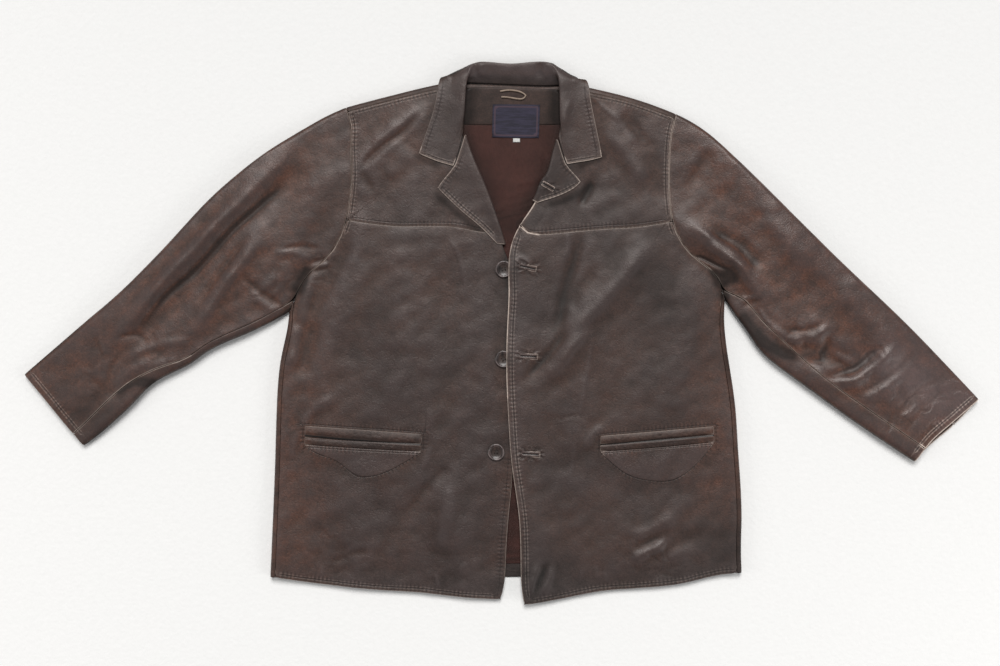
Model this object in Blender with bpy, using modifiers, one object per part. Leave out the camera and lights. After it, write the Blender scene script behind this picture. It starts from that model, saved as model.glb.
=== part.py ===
"""A worn three-button leather coat, lying flat on its back with the front side up.

Metres, +Z up. The origin is on the surface that the coat lies on, under the middle of the chest; +Y runs to the
collar. Left and right are as seen from above. The back wraps up round the sides and over the shoulders to its
seams. Fronts, yokes, sleeves, lapels and collar lie over it in soft folds.
"""

import math

import bmesh
import bpy
from mathutils import Vector
from mathutils.bvhtree import BVHTree

# Driving dimensions
LEATHER = 0.0018
THIN_LEATHER = 0.0015
LINING = 0.0010
SEAM_GAP = 0.0003
SLEEVE_SEAM_GAP = 0.0008
LIE = 0.0115            # top of the upper layer over the surface, where there are no folds
ROLL = 0.0055           # how far a rolled edge reaches in plan
SEAM_INSET = 0.0080     # from the rolled edge to the side and shoulder seams
ROLL_STEPS = 5
SLEEVE_RISE = 0.0065    # how much fuller the sleeves lie than the body
SLEEVE_ROLL = 0.0085
NECK_RAISE = 0.0030     # the back lies on the fall of the collar behind the neck
BUTTON_RADIUS = 0.0129
BUTTON_HEIGHT = 0.0032
BUTTON_HOLE_RADIUS = 0.0011
BUTTON_HOLE_OFFSET = 0.0027

# How many strips each panel is divided into
ARMHOLE_ROWS = {"left": 6, "right": 7}
SIDE_ROWS = {"left": 15, "right": 15}
UNDER_ROWS = {"left": 8, "right": 8}
YOKE_ROWS = 8
SHOULDER_COLUMNS = 5
NECK_COLUMNS = 6
FRONT_COLUMNS = 14
SLEEVE_ROWS = 18

# Outlines in plan, from the hem up to the armpit or from the armpit up to the shoulder tip
SIDE = {
    "left": [(-0.3480, -0.3690), (-0.3465, -0.3420), (-0.3435, -0.2700), (-0.3405, -0.1900), (-0.3385, -0.1200),
             (-0.3360, -0.0720), (-0.3315, -0.0360), (-0.3225, 0.0000), (-0.3195, 0.0280)],
    "right": [(0.3600, -0.3625), (0.3585, -0.3240), (0.3600, -0.2850), (0.3585, -0.2340), (0.3540, -0.1710),
              (0.3510, -0.1170), (0.3450, -0.0720), (0.3390, -0.0360), (0.3345, 0.0000), (0.3330, 0.0300),
              (0.3345, 0.0465)],
}
ARMHOLE = {
    "left": [(-0.3195, 0.0280), (-0.3130, 0.0450), (-0.3040, 0.0650), (-0.2920, 0.0840), (-0.2760, 0.0985),
             (-0.2600, 0.1110), (-0.2460, 0.1330), (-0.2340, 0.1620), (-0.2295, 0.1856), (-0.2250, 0.2286),
             (-0.2260, 0.2715), (-0.2260, 0.3100), (-0.2340, 0.3360)],
    "right": [(0.3345, 0.0465), (0.3305, 0.0660), (0.3215, 0.0835), (0.3050, 0.0980), (0.2880, 0.1105),
              (0.2740, 0.1250), (0.2625, 0.1440), (0.2553, 0.1640), (0.2505, 0.2100), (0.2505, 0.2580),
              (0.2535, 0.2955), (0.2610, 0.3262)],
}
SHOULDER = {
    "left": [(-0.2340, 0.3360), (-0.1830, 0.3495), (-0.1530, 0.3570), (-0.1230, 0.3645), (-0.0930, 0.3712),
             (-0.0600, 0.3765)],
    "right": [(0.2610, 0.3262), (0.2370, 0.3360), (0.2070, 0.3465), (0.1770, 0.3555), (0.1470, 0.3615),
              (0.1215, 0.3675), (0.0915, 0.3735)],
}
YOKE_SEAM = {
    "left": [(-0.2340, 0.1665), (-0.1650, 0.1578), (-0.0738, 0.1569), (-0.0308, 0.1485), (-0.0055, 0.1480)],
    "right": [(0.2560, 0.1640), (0.2025, 0.1560), (0.1500, 0.1530), (0.1000, 0.1485), (0.0495, 0.1449),
              (0.0340, 0.1500), (0.0262, 0.1590)],
}
BACK_HEM = [(-0.3400, -0.3735), (-0.3000, -0.3785), (-0.2500, -0.3785), (-0.1500, -0.3750), (0.0000, -0.3700),
            (0.1500, -0.3700), (0.2500, -0.3710), (0.3000, -0.3695), (0.3520, -0.3640)]
BACK_NECK = [(-0.0600, 0.3708), (-0.0500, 0.3708), (-0.0380, 0.3704), (-0.0030, 0.3690), (0.0200, 0.3680),
             (0.0500, 0.3665), (0.0745, 0.3660), (0.0915, 0.3675)]
FRONT_HEM = {
    "left": [(-0.3400, -0.3690), (-0.3030, -0.3750), (-0.2430, -0.3825), (-0.1830, -0.3885), (-0.1230, -0.3920),
             (-0.0630, -0.3990), (-0.0020, -0.4030)],
    "right": [(0.3520, -0.3625), (0.3270, -0.3650), (0.2970, -0.3720), (0.2670, -0.3795), (0.2070, -0.3855),
              (0.1470, -0.3900), (0.0870, -0.4020), (0.0330, -0.4110)],
}
# Front edges from the hem up; past the break of the lapel they run just inside its roll
FRONT_EDGE = {
    "left": [(-0.0020, -0.4030), (0.0036, -0.3825), (0.0066, -0.3250), (0.0095, -0.2830), (0.0140, -0.2400),
             (0.0178, -0.1800), (0.0185, -0.0800), (0.0185, 0.0200), (0.0165, 0.0850), (0.0090, 0.1120),
             (0.0010, 0.1260), (-0.0055, 0.1480)],
    "right": [(0.0330, -0.4110), (0.0285, -0.3820), (0.0276, -0.3250), (0.0255, -0.2790), (0.0189, -0.2325),
              (0.0132, -0.1905), (0.0095, -0.1335), (0.0065, -0.0735), (0.0065, -0.0210), (0.0080, 0.0165),
              (0.0100, 0.0510), (0.0093, 0.0840), (0.0105, 0.1180), (0.0171, 0.1425), (0.0262, 0.1590)],
}
# One point for each row of the yoke
NECK_EDGE = {
    "left": [(-0.0055, 0.1480), (-0.0152, 0.1780), (-0.0265, 0.2080), (-0.0372, 0.2350), (-0.0490, 0.2620),
             (-0.0590, 0.2890), (-0.0618, 0.3120), (-0.0608, 0.3440), (-0.0610, 0.3680)],
    "right": [(0.0262, 0.1590), (0.0448, 0.1850), (0.0562, 0.2060), (0.0645, 0.2250), (0.0758, 0.2430),
              (0.0810, 0.2660), (0.0888, 0.2900), (0.0922, 0.3170), (0.0928, 0.3650)],
}
# Lapels: the roll line from the break up to the collar, and the free edge from the break to the tip
LAPEL_ROLL = {
    "left": [(0.0065, 0.1305), (-0.0090, 0.1785), (-0.0270, 0.2265), (-0.0435, 0.2640), (-0.0530, 0.2940)],
    "right": [(0.0450, 0.1958), (0.0500, 0.2055), (0.0560, 0.2240), (0.0665, 0.2364), (0.0735, 0.2640),
              (0.0805, 0.2870)],
}
LAPEL_EDGE = {
    "left": [(-0.0075, 0.1305), (-0.0308, 0.1545), (-0.0645, 0.1830), (-0.0968, 0.2145)],
    "right": [(0.0530, 0.1916), (0.0626, 0.1950), (0.0855, 0.2025), (0.1080, 0.2138), (0.1185, 0.2235)],
}
LAPEL_TOP = {
    "left": [(-0.0968, 0.2145), (-0.0850, 0.2310), (-0.0718, 0.2455), (-0.0632, 0.2690), (-0.0556, 0.2930)],
    "right": [(0.1185, 0.2235), (0.1080, 0.2360), (0.0962, 0.2485), (0.0888, 0.2690), (0.0830, 0.2870)],
}
SLEEVE_LOWER = {
    "left": [(-0.3195, 0.0280), (-0.3360, 0.0180), (-0.3660, 0.0030), (-0.3780, -0.0030), (-0.4155, -0.0180),
             (-0.4500, -0.0360), (-0.4640, -0.0490), (-0.4960, -0.0640), (-0.5255, -0.0800), (-0.5530, -0.1100),
             (-0.5780, -0.1330), (-0.6030, -0.1550), (-0.6264, -0.1722)],
    "right": [(0.3345, 0.0465), (0.3430, 0.0330), (0.3560, 0.0150),
              (0.3675, 0.0000), (0.3780, -0.0180), (0.3915, -0.0360), (0.4140, -0.0540), (0.4635, -0.0900),
              (0.5130, -0.1260), (0.5655, -0.1620), (0.6180, -0.1965)],
}
SLEEVE_OUTER = {
    "left": [(-0.2340, 0.3360), (-0.2625, 0.3240), (-0.2940, 0.3060), (-0.3525, 0.2700), (-0.3990, 0.2340),
             (-0.4395, 0.1980), (-0.5055, 0.1260), (-0.5775, 0.0540), (-0.6210, 0.0180), (-0.6630, -0.0180),
             (-0.7170, -0.0645)],
    "right": [(0.2610, 0.3262), (0.3000, 0.3060), (0.3405, 0.2700), (0.3780, 0.2340), (0.4500, 0.1620),
              (0.5235, 0.0900), (0.6000, 0.0180), (0.6705, -0.0540), (0.7160, -0.1020)],
}
CUFF = {
    "left": [(-0.6264, -0.1722), (-0.6560, -0.1380), (-0.6880, -0.0990), (-0.7170, -0.0645)],
    "right": [(0.6180, -0.1965), (0.6440, -0.1640), (0.6800, -0.1330), (0.7160, -0.1020)],
}
# Depth of the visible sleeve seam behind the lower edge, at even steps from the armhole to the cuff
SLEEVE_SEAM = {
    "left": [0.0190, 0.0150, 0.0130, 0.0125, 0.0130, 0.0190, 0.0330, 0.0300, 0.0240],
    "right": [0.0150, 0.0260, 0.0290, 0.0290, 0.0290, 0.0280, 0.0270, 0.0260, 0.0255],
}
ARMPIT_ROLL = {"left": 0.0150, "right": 0.0105}
ARMPIT_SEAM = {"left": 0.0190, "right": 0.0150}
CUFF_REVEAL = {"left": 0.0010, "right": 0.0070}
ARMHOLE_FADE = 0.50     # share of a sleeve's length over which its strips straighten
ARMHOLE_PUSH = Vector((0.02, 0.22))
ARMHOLE_PUSH_END = 0.60
UNDER_SEAM = 0.62       # share of the sleeve's width where its hidden seam lies

# Where a collar, lapel or pocket lies, its ground is calm: a line in plan and the reach of the calm
CALM = [
    ([(-0.080, 0.372), (-0.090, 0.320), (-0.097, 0.270)], 0.030),
    ([(0.110, 0.372), (0.115, 0.320), (0.122, 0.268)], 0.034),
    ([(-0.020, 0.150), (-0.060, 0.205), (-0.062, 0.240)], 0.028),
    ([(0.070, 0.205), (0.092, 0.225)], 0.026),
    ([(-0.285, -0.162), (-0.130, -0.172)], 0.026),
    ([(-0.230, -0.192), (-0.190, -0.196)], 0.026),
    ([(0.160, -0.172), (0.305, -0.160)], 0.026),
    ([(0.200, -0.200), (0.265, -0.196)], 0.026),
]

# Folds of the upper layer: a line in plan, how wide the fold is and how high (a trough is below zero)
FOLDS = [
    ([(-0.345, 0.240), (-0.398, 0.188), (-0.464, 0.116), (-0.507, 0.070), (-0.560, 0.015)], 0.016, 0.0050),
    ([(-0.318, 0.232), (-0.378, 0.168), (-0.442, 0.095), (-0.500, 0.034), (-0.536, 0.000)], 0.013, -0.0042),
    ([(-0.370, 0.140), (-0.402, 0.087), (-0.432, 0.046), (-0.458, 0.000)], 0.014, 0.0034),
    ([(-0.387, 0.078), (-0.345, 0.050)], 0.010, -0.0026),
    ([(-0.572, -0.045), (-0.590, -0.085)], 0.012, -0.0028),
    ([(-0.500, -0.045), (-0.545, -0.056), (-0.575, -0.066)], 0.011, 0.0030),
    ([(-0.286, 0.098), (-0.303, 0.074), (-0.314, 0.048)], 0.008, -0.0030),
    ([(-0.262, 0.235), (-0.310, 0.150), (-0.340, 0.080)], 0.020, 0.0030),
    ([(0.285, 0.155), (0.330, 0.122), (0.364, 0.093), (0.388, 0.055)], 0.014, 0.0052),
    ([(0.284, 0.113), (0.304, 0.099), (0.322, 0.084), (0.330, 0.067)], 0.011, -0.0034),
    ([(0.412, 0.002), (0.447, 0.006), (0.4815, 0.0045)], 0.011, 0.0036),
    ([(0.440, -0.018), (0.480, -0.034), (0.515, -0.042)], 0.010, -0.0030),
    ([(0.4845, -0.074), (0.535, -0.073), (0.572, -0.044), (0.592, -0.017)], 0.012, 0.0052),
    ([(0.4830, -0.050), (0.530, -0.050), (0.560, -0.024)], 0.010, -0.0032),
    ([(0.545, -0.105), (0.590, -0.085), (0.625, -0.055)], 0.011, 0.0030),
    ([(0.585, -0.135), (0.612, -0.100), (0.640, -0.076)], 0.010, -0.0026),
    ([(0.330, 0.262), (0.395, 0.190), (0.440, 0.120)], 0.024, 0.0030),
    ([(0.420, 0.150), (0.500, 0.070), (0.560, 0.010)], 0.020, 0.0026),
    ([(-0.100, 0.345), (-0.150, 0.300), (-0.205, 0.240)], 0.016, 0.0034),
    ([(-0.135, 0.290), (-0.165, 0.240), (-0.180, 0.195)], 0.014, -0.0018),
    ([(-0.215, 0.150), (-0.235, 0.080), (-0.262, 0.000), (-0.285, -0.070)], 0.020, 0.0034),
    ([(-0.255, 0.095), (-0.280, 0.035), (-0.300, -0.030)], 0.012, -0.0022),
    ([(-0.150, 0.120), (-0.140, 0.020), (-0.150, -0.080)], 0.024, 0.0026),
    ([(-0.080, 0.080), (-0.070, -0.060), (-0.075, -0.180)], 0.020, -0.0018),
    ([(-0.090, -0.250), (-0.060, -0.320), (-0.052, -0.385)], 0.016, 0.0034),
    ([(-0.230, -0.260), (-0.210, -0.320), (-0.215, -0.380)], 0.022, 0.0028),
    ([(-0.150, -0.290), (-0.140, -0.380)], 0.018, -0.0008),
    ([(0.165, 0.322), (0.195, 0.284), (0.212, 0.240)], 0.014, 0.0034),
    ([(0.188, 0.325), (0.220, 0.270), (0.236, 0.206)], 0.011, -0.0022),
    ([(0.138, 0.215), (0.118, 0.178), (0.108, 0.140), (0.096, 0.070), (0.078, 0.003)], 0.011, -0.0018),
    ([(0.208, 0.116), (0.176, 0.076), (0.133, 0.035), (0.110, -0.005), (0.0885, -0.042)], 0.018, 0.0052),
    ([(0.070, 0.020), (0.057, -0.045), (0.036, -0.077)], 0.011, -0.0018),
    ([(0.136, -0.024), (0.124, -0.075), (0.116, -0.123), (0.110, -0.160)], 0.014, 0.0026),
    ([(0.285, 0.060), (0.262, -0.020), (0.255, -0.090)], 0.022, 0.0030),
    ([(0.272, -0.282), (0.230, -0.290), (0.190, -0.300)], 0.014, 0.0034),
    ([(0.255, -0.316), (0.204, -0.342), (0.160, -0.350)], 0.014, 0.0038),
    ([(0.300, -0.300), (0.240, -0.304), (0.180, -0.322)], 0.010, -0.0018),
    ([(0.048, -0.400), (0.056, -0.340), (0.062, -0.290)], 0.014, 0.0030),
    ([(0.092, -0.398), (0.096, -0.350)], 0.013, -0.0014),
]

# Places of the small pieces
BUTTONS = [(0.0026, 0.0927), (0.0021, -0.0420), (-0.0089, -0.1815)]
BUTTONHOLES = [
    ("buttonhole_1", (0.0385, 0.0950), 0.0270, 0.0090, -12.0),
    ("buttonhole_2", (0.0395, -0.0380), 0.0290, 0.0090, -3.0),
    ("buttonhole_3", (0.0428, -0.1845), 0.0290, 0.0090, -3.0),
    ("buttonhole_lapel", (0.0690, 0.2165), 0.0200, 0.0078, -29.0),
]
POCKETS = {
    "left": {
        "upper": ([(-0.2950, -0.1418), (-0.2070, -0.1480), (-0.1200, -0.1542)],
                  [(-0.2955, -0.1580), (-0.2214, -0.1636), (-0.1204, -0.1675)]),
        "lower": ([(-0.2956, -0.1590), (-0.2214, -0.1646), (-0.1205, -0.1685)],
                  [(-0.2961, -0.1695), (-0.2080, -0.1755), (-0.1209, -0.1800)]),
        "crescent": ([(-0.2961, -0.1701), (-0.2080, -0.1761), (-0.1206, -0.1806)],
                     [(-0.2925, -0.1745), (-0.2715, -0.1862), (-0.2480, -0.1925), (-0.2195, -0.2170),
                      (-0.1965, -0.2180), (-0.1716, -0.2106), (-0.1470, -0.1970), (-0.1250, -0.1840)]),
    },
    "right": {
        "upper": ([(0.1476, -0.1570), (0.2320, -0.1500), (0.3170, -0.1425)],
                  [(0.1471, -0.1700), (0.2320, -0.1618), (0.3175, -0.1538)]),
        "lower": ([(0.1471, -0.1710), (0.2320, -0.1628), (0.3175, -0.1548)],
                  [(0.1467, -0.1800), (0.2320, -0.1738), (0.3180, -0.1658)]),
        "crescent": ([(0.1471, -0.1806), (0.2320, -0.1744), (0.3176, -0.1664)],
                     [(0.1510, -0.1850), (0.1650, -0.1985), (0.1900, -0.2165), (0.2220, -0.2240),
                      (0.2535, -0.2245), (0.2820, -0.2080), (0.3020, -0.1870), (0.3140, -0.1720)]),
    },
}

# Collar: free edge, fold of the fall, crest of the roll and neck seam at stations from the left front end round
# the neck to the right front end. Z is that of the middle of the leather.
COLLAR_EDGE = [
    (-0.1245, 0.2655, 0.0133), (-0.1175, 0.2860, 0.0133), (-0.1100, 0.3075, 0.0133), (-0.1035, 0.3263, 0.0134),
    (-0.0985, 0.3480, 0.0136), (-0.0960, 0.3680, 0.0140), (-0.0925, 0.3800, 0.0085), (-0.0880, 0.3740, 0.0011),
    (-0.0700, 0.3500, 0.0010), (-0.0450, 0.3405, 0.0010), (-0.0020, 0.3370, 0.0010), (0.0200, 0.3365, 0.0010),
    (0.0500, 0.3380, 0.0010), (0.0860, 0.3440, 0.0010), (0.1060, 0.3560, 0.0010), (0.1190, 0.3715, 0.0011),
    (0.1260, 0.3770, 0.0080), (0.1305, 0.3680, 0.0140), (0.1320, 0.3480, 0.0136), (0.1370, 0.3240, 0.0134),
    (0.1420, 0.3000, 0.0133), (0.1465, 0.2790, 0.0133), (0.1498, 0.2600, 0.0133),
]
COLLAR_FOLD = [
    (-0.1000, 0.2552, 0.0133), (-0.0920, 0.2765, 0.0133), (-0.0850, 0.3030, 0.0134), (-0.0780, 0.3220, 0.0136),
    (-0.0760, 0.3450, 0.0137), (-0.0760, 0.3680, 0.0142), (-0.0775, 0.3810, 0.0135), (-0.0790, 0.3845, 0.0070),
    (-0.0660, 0.3900, 0.0018), (-0.0400, 0.3990, 0.0013), (-0.0030, 0.3955, 0.0012), (0.0200, 0.3945, 0.0012),
    (0.0520, 0.3985, 0.0013), (0.0840, 0.3930, 0.0014), (0.1030, 0.3850, 0.0020), (0.1130, 0.3800, 0.0070),
    (0.1120, 0.3770, 0.0135), (0.1100, 0.3640, 0.0142), (0.1090, 0.3430, 0.0137), (0.1130, 0.3190, 0.0136),
    (0.1180, 0.2950, 0.0134), (0.1240, 0.2740, 0.0133), (0.1290, 0.2550, 0.0133),
]
COLLAR_CREST = [
    (-0.0850, 0.2505, 0.0133), (-0.0760, 0.2725, 0.0134), (-0.0670, 0.3010, 0.0146), (-0.0575, 0.3180, 0.0166),
    (-0.0562, 0.3410, 0.0168), (-0.0550, 0.3610, 0.0170), (-0.0535, 0.3730, 0.0172), (-0.0515, 0.3830, 0.0168),
    (-0.0470, 0.3955, 0.0140), (-0.0350, 0.4045, 0.0110), (-0.0030, 0.4005, 0.0098), (0.0200, 0.3995, 0.0098),
    (0.0500, 0.4035, 0.0102), (0.0700, 0.4030, 0.0118), (0.0810, 0.3925, 0.0145), (0.0850, 0.3810, 0.0168),
    (0.0860, 0.3720, 0.0172), (0.0868, 0.3610, 0.0170), (0.0870, 0.3400, 0.0168), (0.0872, 0.3160, 0.0166),
    (0.0930, 0.2925, 0.0146), (0.1020, 0.2725, 0.0134), (0.1110, 0.2522, 0.0133),
]
COLLAR_NECK = [
    (-0.0728, 0.2470, 0.0133), (-0.0646, 0.2700, 0.0135), (-0.0584, 0.2985, 0.0133), (-0.0578, 0.3180, 0.0104),
    (-0.0578, 0.3410, 0.0104), (-0.0578, 0.3580, 0.0092), (-0.0576, 0.3680, 0.0078), (-0.0560, 0.3735, 0.0058),
    (-0.0480, 0.3735, 0.0046), (-0.0380, 0.3730, 0.0040), (-0.0030, 0.3714, 0.0038), (0.0200, 0.3704, 0.0038),
    (0.0500, 0.3690, 0.0038), (0.0745, 0.3688, 0.0041), (0.0850, 0.3700, 0.0056), (0.0885, 0.3690, 0.0070),
    (0.0894, 0.3650, 0.0082), (0.0896, 0.3580, 0.0092), (0.0896, 0.3400, 0.0104), (0.0896, 0.3160, 0.0104),
    (0.0850, 0.2900, 0.0132), (0.0902, 0.2700, 0.0135), (0.0974, 0.2498, 0.0133),
]
COLLAR_STRIPS = [3, 4, 5]

LINING_OUTLINE = {
    "bottom": [(-0.3150, -0.3495), (0.0000, -0.3495), (0.3300, -0.3495)],
    "top": [(-0.1050, 0.3095), (0.0180, 0.3090), (0.1300, 0.3095)],
    "left": [(-0.3150, -0.3495), (-0.3080, -0.1500), (-0.2900, 0.0000), (-0.2250, 0.1300), (-0.1500, 0.2500),
             (-0.1050, 0.3095)],
    "right": [(0.3300, -0.3495), (0.3220, -0.1500), (0.3050, 0.0000), (0.2400, 0.1300), (0.1700, 0.2500),
              (0.1300, 0.3095)],
}
FACING_OUTLINE = {
    "bottom": [(-0.0900, 0.3105), (0.0180, 0.3100), (0.1180, 0.3105)],
    "top": [(-0.0540, 0.3655), (-0.0030, 0.3660), (0.0500, 0.3640), (0.0860, 0.3625)],
}
LABEL_CORNERS = [(-0.0150, 0.2905), (0.0555, 0.2895), (0.0570, 0.3395), (-0.0140, 0.3405)]
SIZE_TAB_CORNERS = [(0.0165, 0.2835), (0.0270, 0.2835), (0.0270, 0.2893), (0.0165, 0.2893)]
HANGER_LOOP = [(-0.0030, 0.3596), (0.0080, 0.3614), (0.0190, 0.3608), (0.0310, 0.3575), (0.0362, 0.3520),
               (0.0310, 0.3480), (0.0190, 0.3490), (0.0080, 0.3508), (-0.0010, 0.3512)]
HANGER_RADIUS = 0.0014

COLLECTION = "worn_leather_coat"


def clear_scene():
    for thing in list(bpy.data.objects):
        bpy.data.objects.remove(thing, do_unlink=True)


def collection(name):
    made = bpy.data.collections.new(name)
    bpy.context.scene.collection.children.link(made)
    return made


def material(name, colour, roughness):
    made = bpy.data.materials.new(name)
    made.use_nodes = True
    shader = made.node_tree.nodes["Principled BSDF"]
    shader.inputs["Base Color"].default_value = (*colour, 1.0)
    shader.inputs["Roughness"].default_value = roughness
    made.diffuse_color = (*colour, 1.0)
    return made


class Line:
    """A smooth line through a few points, read by the distance along it."""

    def __init__(self, points, fine=16):
        counts = [fine] * (len(points) - 1)
        self.points = curve_through(points, counts)
        self.marks = [0.0]
        for start, end in zip(self.points, self.points[1:]):
            self.marks.append(self.marks[-1] + (end - start).length)
        self.length = self.marks[-1]

    def at(self, distance):
        distance = min(max(distance, 0.0), self.length)
        for place in range(len(self.points) - 1):
            if self.marks[place + 1] >= distance:
                break
        span = self.marks[place + 1] - self.marks[place]
        return self.points[place].lerp(self.points[place + 1], (distance - self.marks[place]) / span)

    def share(self, share):
        return self.at(share * self.length)

    def along(self, distance):
        """Direction of travel."""
        step = 0.002
        return (self.at(distance + step) - self.at(distance - step)).normalized()

    def spaced(self, count):
        return [self.share(step / count) for step in range(count + 1)]

    def nearest(self, point):
        """Distance along the line of its point nearest to the one given."""
        gaps = [(Vector(point) - place).length for place in self.points]
        return self.marks[gaps.index(min(gaps))]


def curve_through(points, counts):
    """Points of a curve through the given ones, with a given number of steps between each two."""
    guide = [Vector(point) for point in points]
    guide = [2 * guide[0] - guide[1]] + guide + [2 * guide[-1] - guide[-2]]
    line = []
    for place, count in enumerate(counts):
        before, start, end, after = guide[place:place + 4]
        knots = [0.0]
        for first, second in ((before, start), (start, end), (end, after)):
            knots.append(knots[-1] + max((second - first).length, 1e-6) ** 0.5)
        for step in range(count):
            line.append(curve_point((before, start, end, after), knots, step / count))
    line.append(guide[-2].copy())
    return line


def curve_point(guide, knots, share):
    """A point between the second and third guide points, by blending lines and then blends of lines."""
    value = knots[1] + (knots[2] - knots[1]) * share

    def blend(first, second, low, high):
        return first.lerp(second, (value - knots[low]) / (knots[high] - knots[low]))

    before, start, end, after = guide
    lines = blend(before, start, 0, 1), blend(start, end, 1, 2), blend(end, after, 2, 3)
    bends = blend(lines[0], lines[1], 0, 2), blend(lines[1], lines[2], 1, 3)
    return blend(bends[0], bends[1], 1, 2)


def smooth(value, low, high):
    """0 at low, 1 at high, with soft ends."""
    share = min(max((value - low) / (high - low), 0.0), 1.0)
    return share * share * (3 - 2 * share)


def to_segment(point, start, end):
    """Distance from a point to a straight stretch."""
    run = end - start
    share = min(max((point - start).dot(run) / run.length_squared, 0.0), 1.0)
    return (point - start - run * share).length


def to_line(point, line):
    corners = [Vector(corner) for corner in line]
    return min(to_segment(point, start, end) for start, end in zip(corners, corners[1:]))


def fold_height(x, y):
    point = Vector((x, y))
    total = sum(height * math.exp(-(to_line(point, line) / width) ** 2) for line, width, height in FOLDS)
    for line, reach in CALM:
        total *= smooth(to_line(point, line), 0.7 * reach, 1.5 * reach)
    return total


def top_height(x, y, side):
    """Height of the outer face of the upper layer over the surface that the coat lies on."""
    sleeve = smooth(abs(x - 0.01), 0.30, 0.40) - smooth(abs(x - 0.01), 0.56, 0.70)
    hem = smooth(y, -0.300, -0.380)
    height = LIE + SLEEVE_RISE * sleeve - 0.0012 * hem + fold_height(x, y)
    if side == "left":
        return height - 0.0017 * smooth(x, -0.050, -0.005)
    height += 0.0016 * smooth(x, 0.080, 0.030) * (1 - hem)
    for place in BUTTONS[:2]:
        away = (Vector((x, y)) - Vector(place)).length
        height += 0.0036 * math.exp(-(away / 0.030) ** 2)
    return height


def neck_raise(x, y):
    """How far the back is lifted by the fall of the collar under it."""
    across = smooth(x, -0.140, -0.105) * smooth(x, 0.172, 0.137)
    return NECK_RAISE * across * smooth(y, 0.272, 0.306)


def patch(bottom, top, left, right):
    """Points in plan that fill the area between four edges, row by row from the bottom."""
    columns, rows = len(bottom) - 1, len(left) - 1
    grid = []
    for row in range(rows + 1):
        v = row / rows
        line = []
        for column in range(columns + 1):
            u = column / columns
            across = left[row].lerp(right[row], u)
            upward = bottom[column].lerp(top[column], v)
            low = bottom[0].lerp(bottom[-1], u)
            high = top[0].lerp(top[-1], u)
            line.append(across + upward - low.lerp(high, v))
        grid.append(line)
    return grid


def pull_in(grid, gap):
    """Move the outer points of a grid in plan inwards by half a seam's gap."""
    rows, columns = len(grid) - 1, len(grid[0]) - 1
    moved = [[point.copy() for point in line] for line in grid]
    for row in range(rows + 1):
        for column in range(columns + 1):
            if row in (0, rows):
                inner = grid[1][column] if row == 0 else grid[rows - 1][column]
                moved[row][column] += (inner - grid[row][column]).normalized() * gap
            if column in (0, columns):
                inner = grid[row][1] if column == 0 else grid[row][columns - 1]
                moved[row][column] += (inner - grid[row][column]).normalized() * gap
    return moved


def lift(grid, height):
    """Points of a grid in plan, each at the height that a function gives."""
    return [[Vector((point.x, point.y, height(point.x, point.y))) for point in line] for line in grid]


def grid_mesh(grid, mesh):
    """Add a sheet to a bmesh: a square grid whose points go to the places given."""
    row_mark = mesh.verts.layers.int.get("row") or mesh.verts.layers.int.new("row")
    column_mark = mesh.verts.layers.int.get("column") or mesh.verts.layers.int.new("column")
    rows, columns = len(grid) - 1, len(grid[0]) - 1
    made = bmesh.ops.create_grid(mesh, x_segments=columns, y_segments=rows, size=1)
    for vertex in made["verts"]:
        vertex[row_mark] = round((vertex.co.y + 1) / 2 * rows)
        vertex[column_mark] = round((vertex.co.x + 1) / 2 * columns)
        vertex.co = grid[vertex[row_mark]][vertex[column_mark]]
    return row_mark, column_mark


def add_object(name, mesh, finish, home, rounded=True):
    data = bpy.data.meshes.new(name)
    mesh.to_mesh(data)
    mesh.free()
    data.materials.append(finish)
    if rounded:
        data.shade_smooth()
        data.set_sharp_from_angle(angle=math.radians(40))
    made = bpy.data.objects.new(name, data)
    home.objects.link(made)
    return made


def slab(name, lower, upper, finish, home):
    """A closed piece between two grids of points that lie one over the other."""
    mesh = bmesh.new()
    row_mark, column_mark = grid_mesh(lower, mesh)
    made = bmesh.ops.extrude_face_region(mesh, geom=mesh.faces[:], use_keep_orig=True)
    for vertex in made["geom"]:
        if isinstance(vertex, bmesh.types.BMVert):
            vertex.co = upper[vertex[row_mark]][vertex[column_mark]]
    bmesh.ops.recalc_face_normals(mesh, faces=mesh.faces[:])
    return add_object(name, mesh, finish, home)


def panel(name, grid, side, finish, home):
    """A piece of the upper layer: a leather wall that follows the folds."""
    upper = lift(grid, lambda x, y: top_height(x, y, side))
    lower = [[point - Vector((0, 0, LEATHER)) for point in line] for line in upper]
    return slab(name, lower, upper, finish, home)


def shell(name, grids, thickness, finish, home, offset=-1.0):
    """A wall of even thickness grown inwards from an open sheet welded from several grids."""
    mesh = bmesh.new()
    for grid in grids:
        grid_mesh(grid, mesh)
    bmesh.ops.remove_doubles(mesh, verts=mesh.verts[:], dist=0.00005)
    bmesh.ops.recalc_face_normals(mesh, faces=mesh.faces[:])
    lowest = min(mesh.faces, key=lambda face: face.calc_center_median().z - abs(face.normal.z) * 0.01)
    if lowest.normal.z > 0:
        bmesh.ops.reverse_faces(mesh, faces=mesh.faces[:])
    made = add_object(name, mesh, finish, home)
    wall = made.modifiers.new("wall", "SOLIDIFY")
    wall.thickness = thickness
    wall.offset = offset
    wall.use_even_offset = True
    return made


def surface_of(things):
    """Search trees of finished pieces, to lay other pieces on them."""
    bpy.context.view_layer.update()
    graph = bpy.context.evaluated_depsgraph_get()
    return [BVHTree.FromObject(thing, graph) for thing in things]


def height_over(trees, x, y, reach):
    """Highest point of the pieces below, near a place in plan."""
    highest = None
    for step_x in (-reach, 0.0, reach):
        for step_y in (-reach, 0.0, reach):
            for tree in trees:
                hit = tree.ray_cast(Vector((x + step_x, y + step_y, 0.1)), Vector((0, 0, -1)))[0]
                if hit is not None and (highest is None or hit.z > highest):
                    highest = hit.z
    return highest


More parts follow.
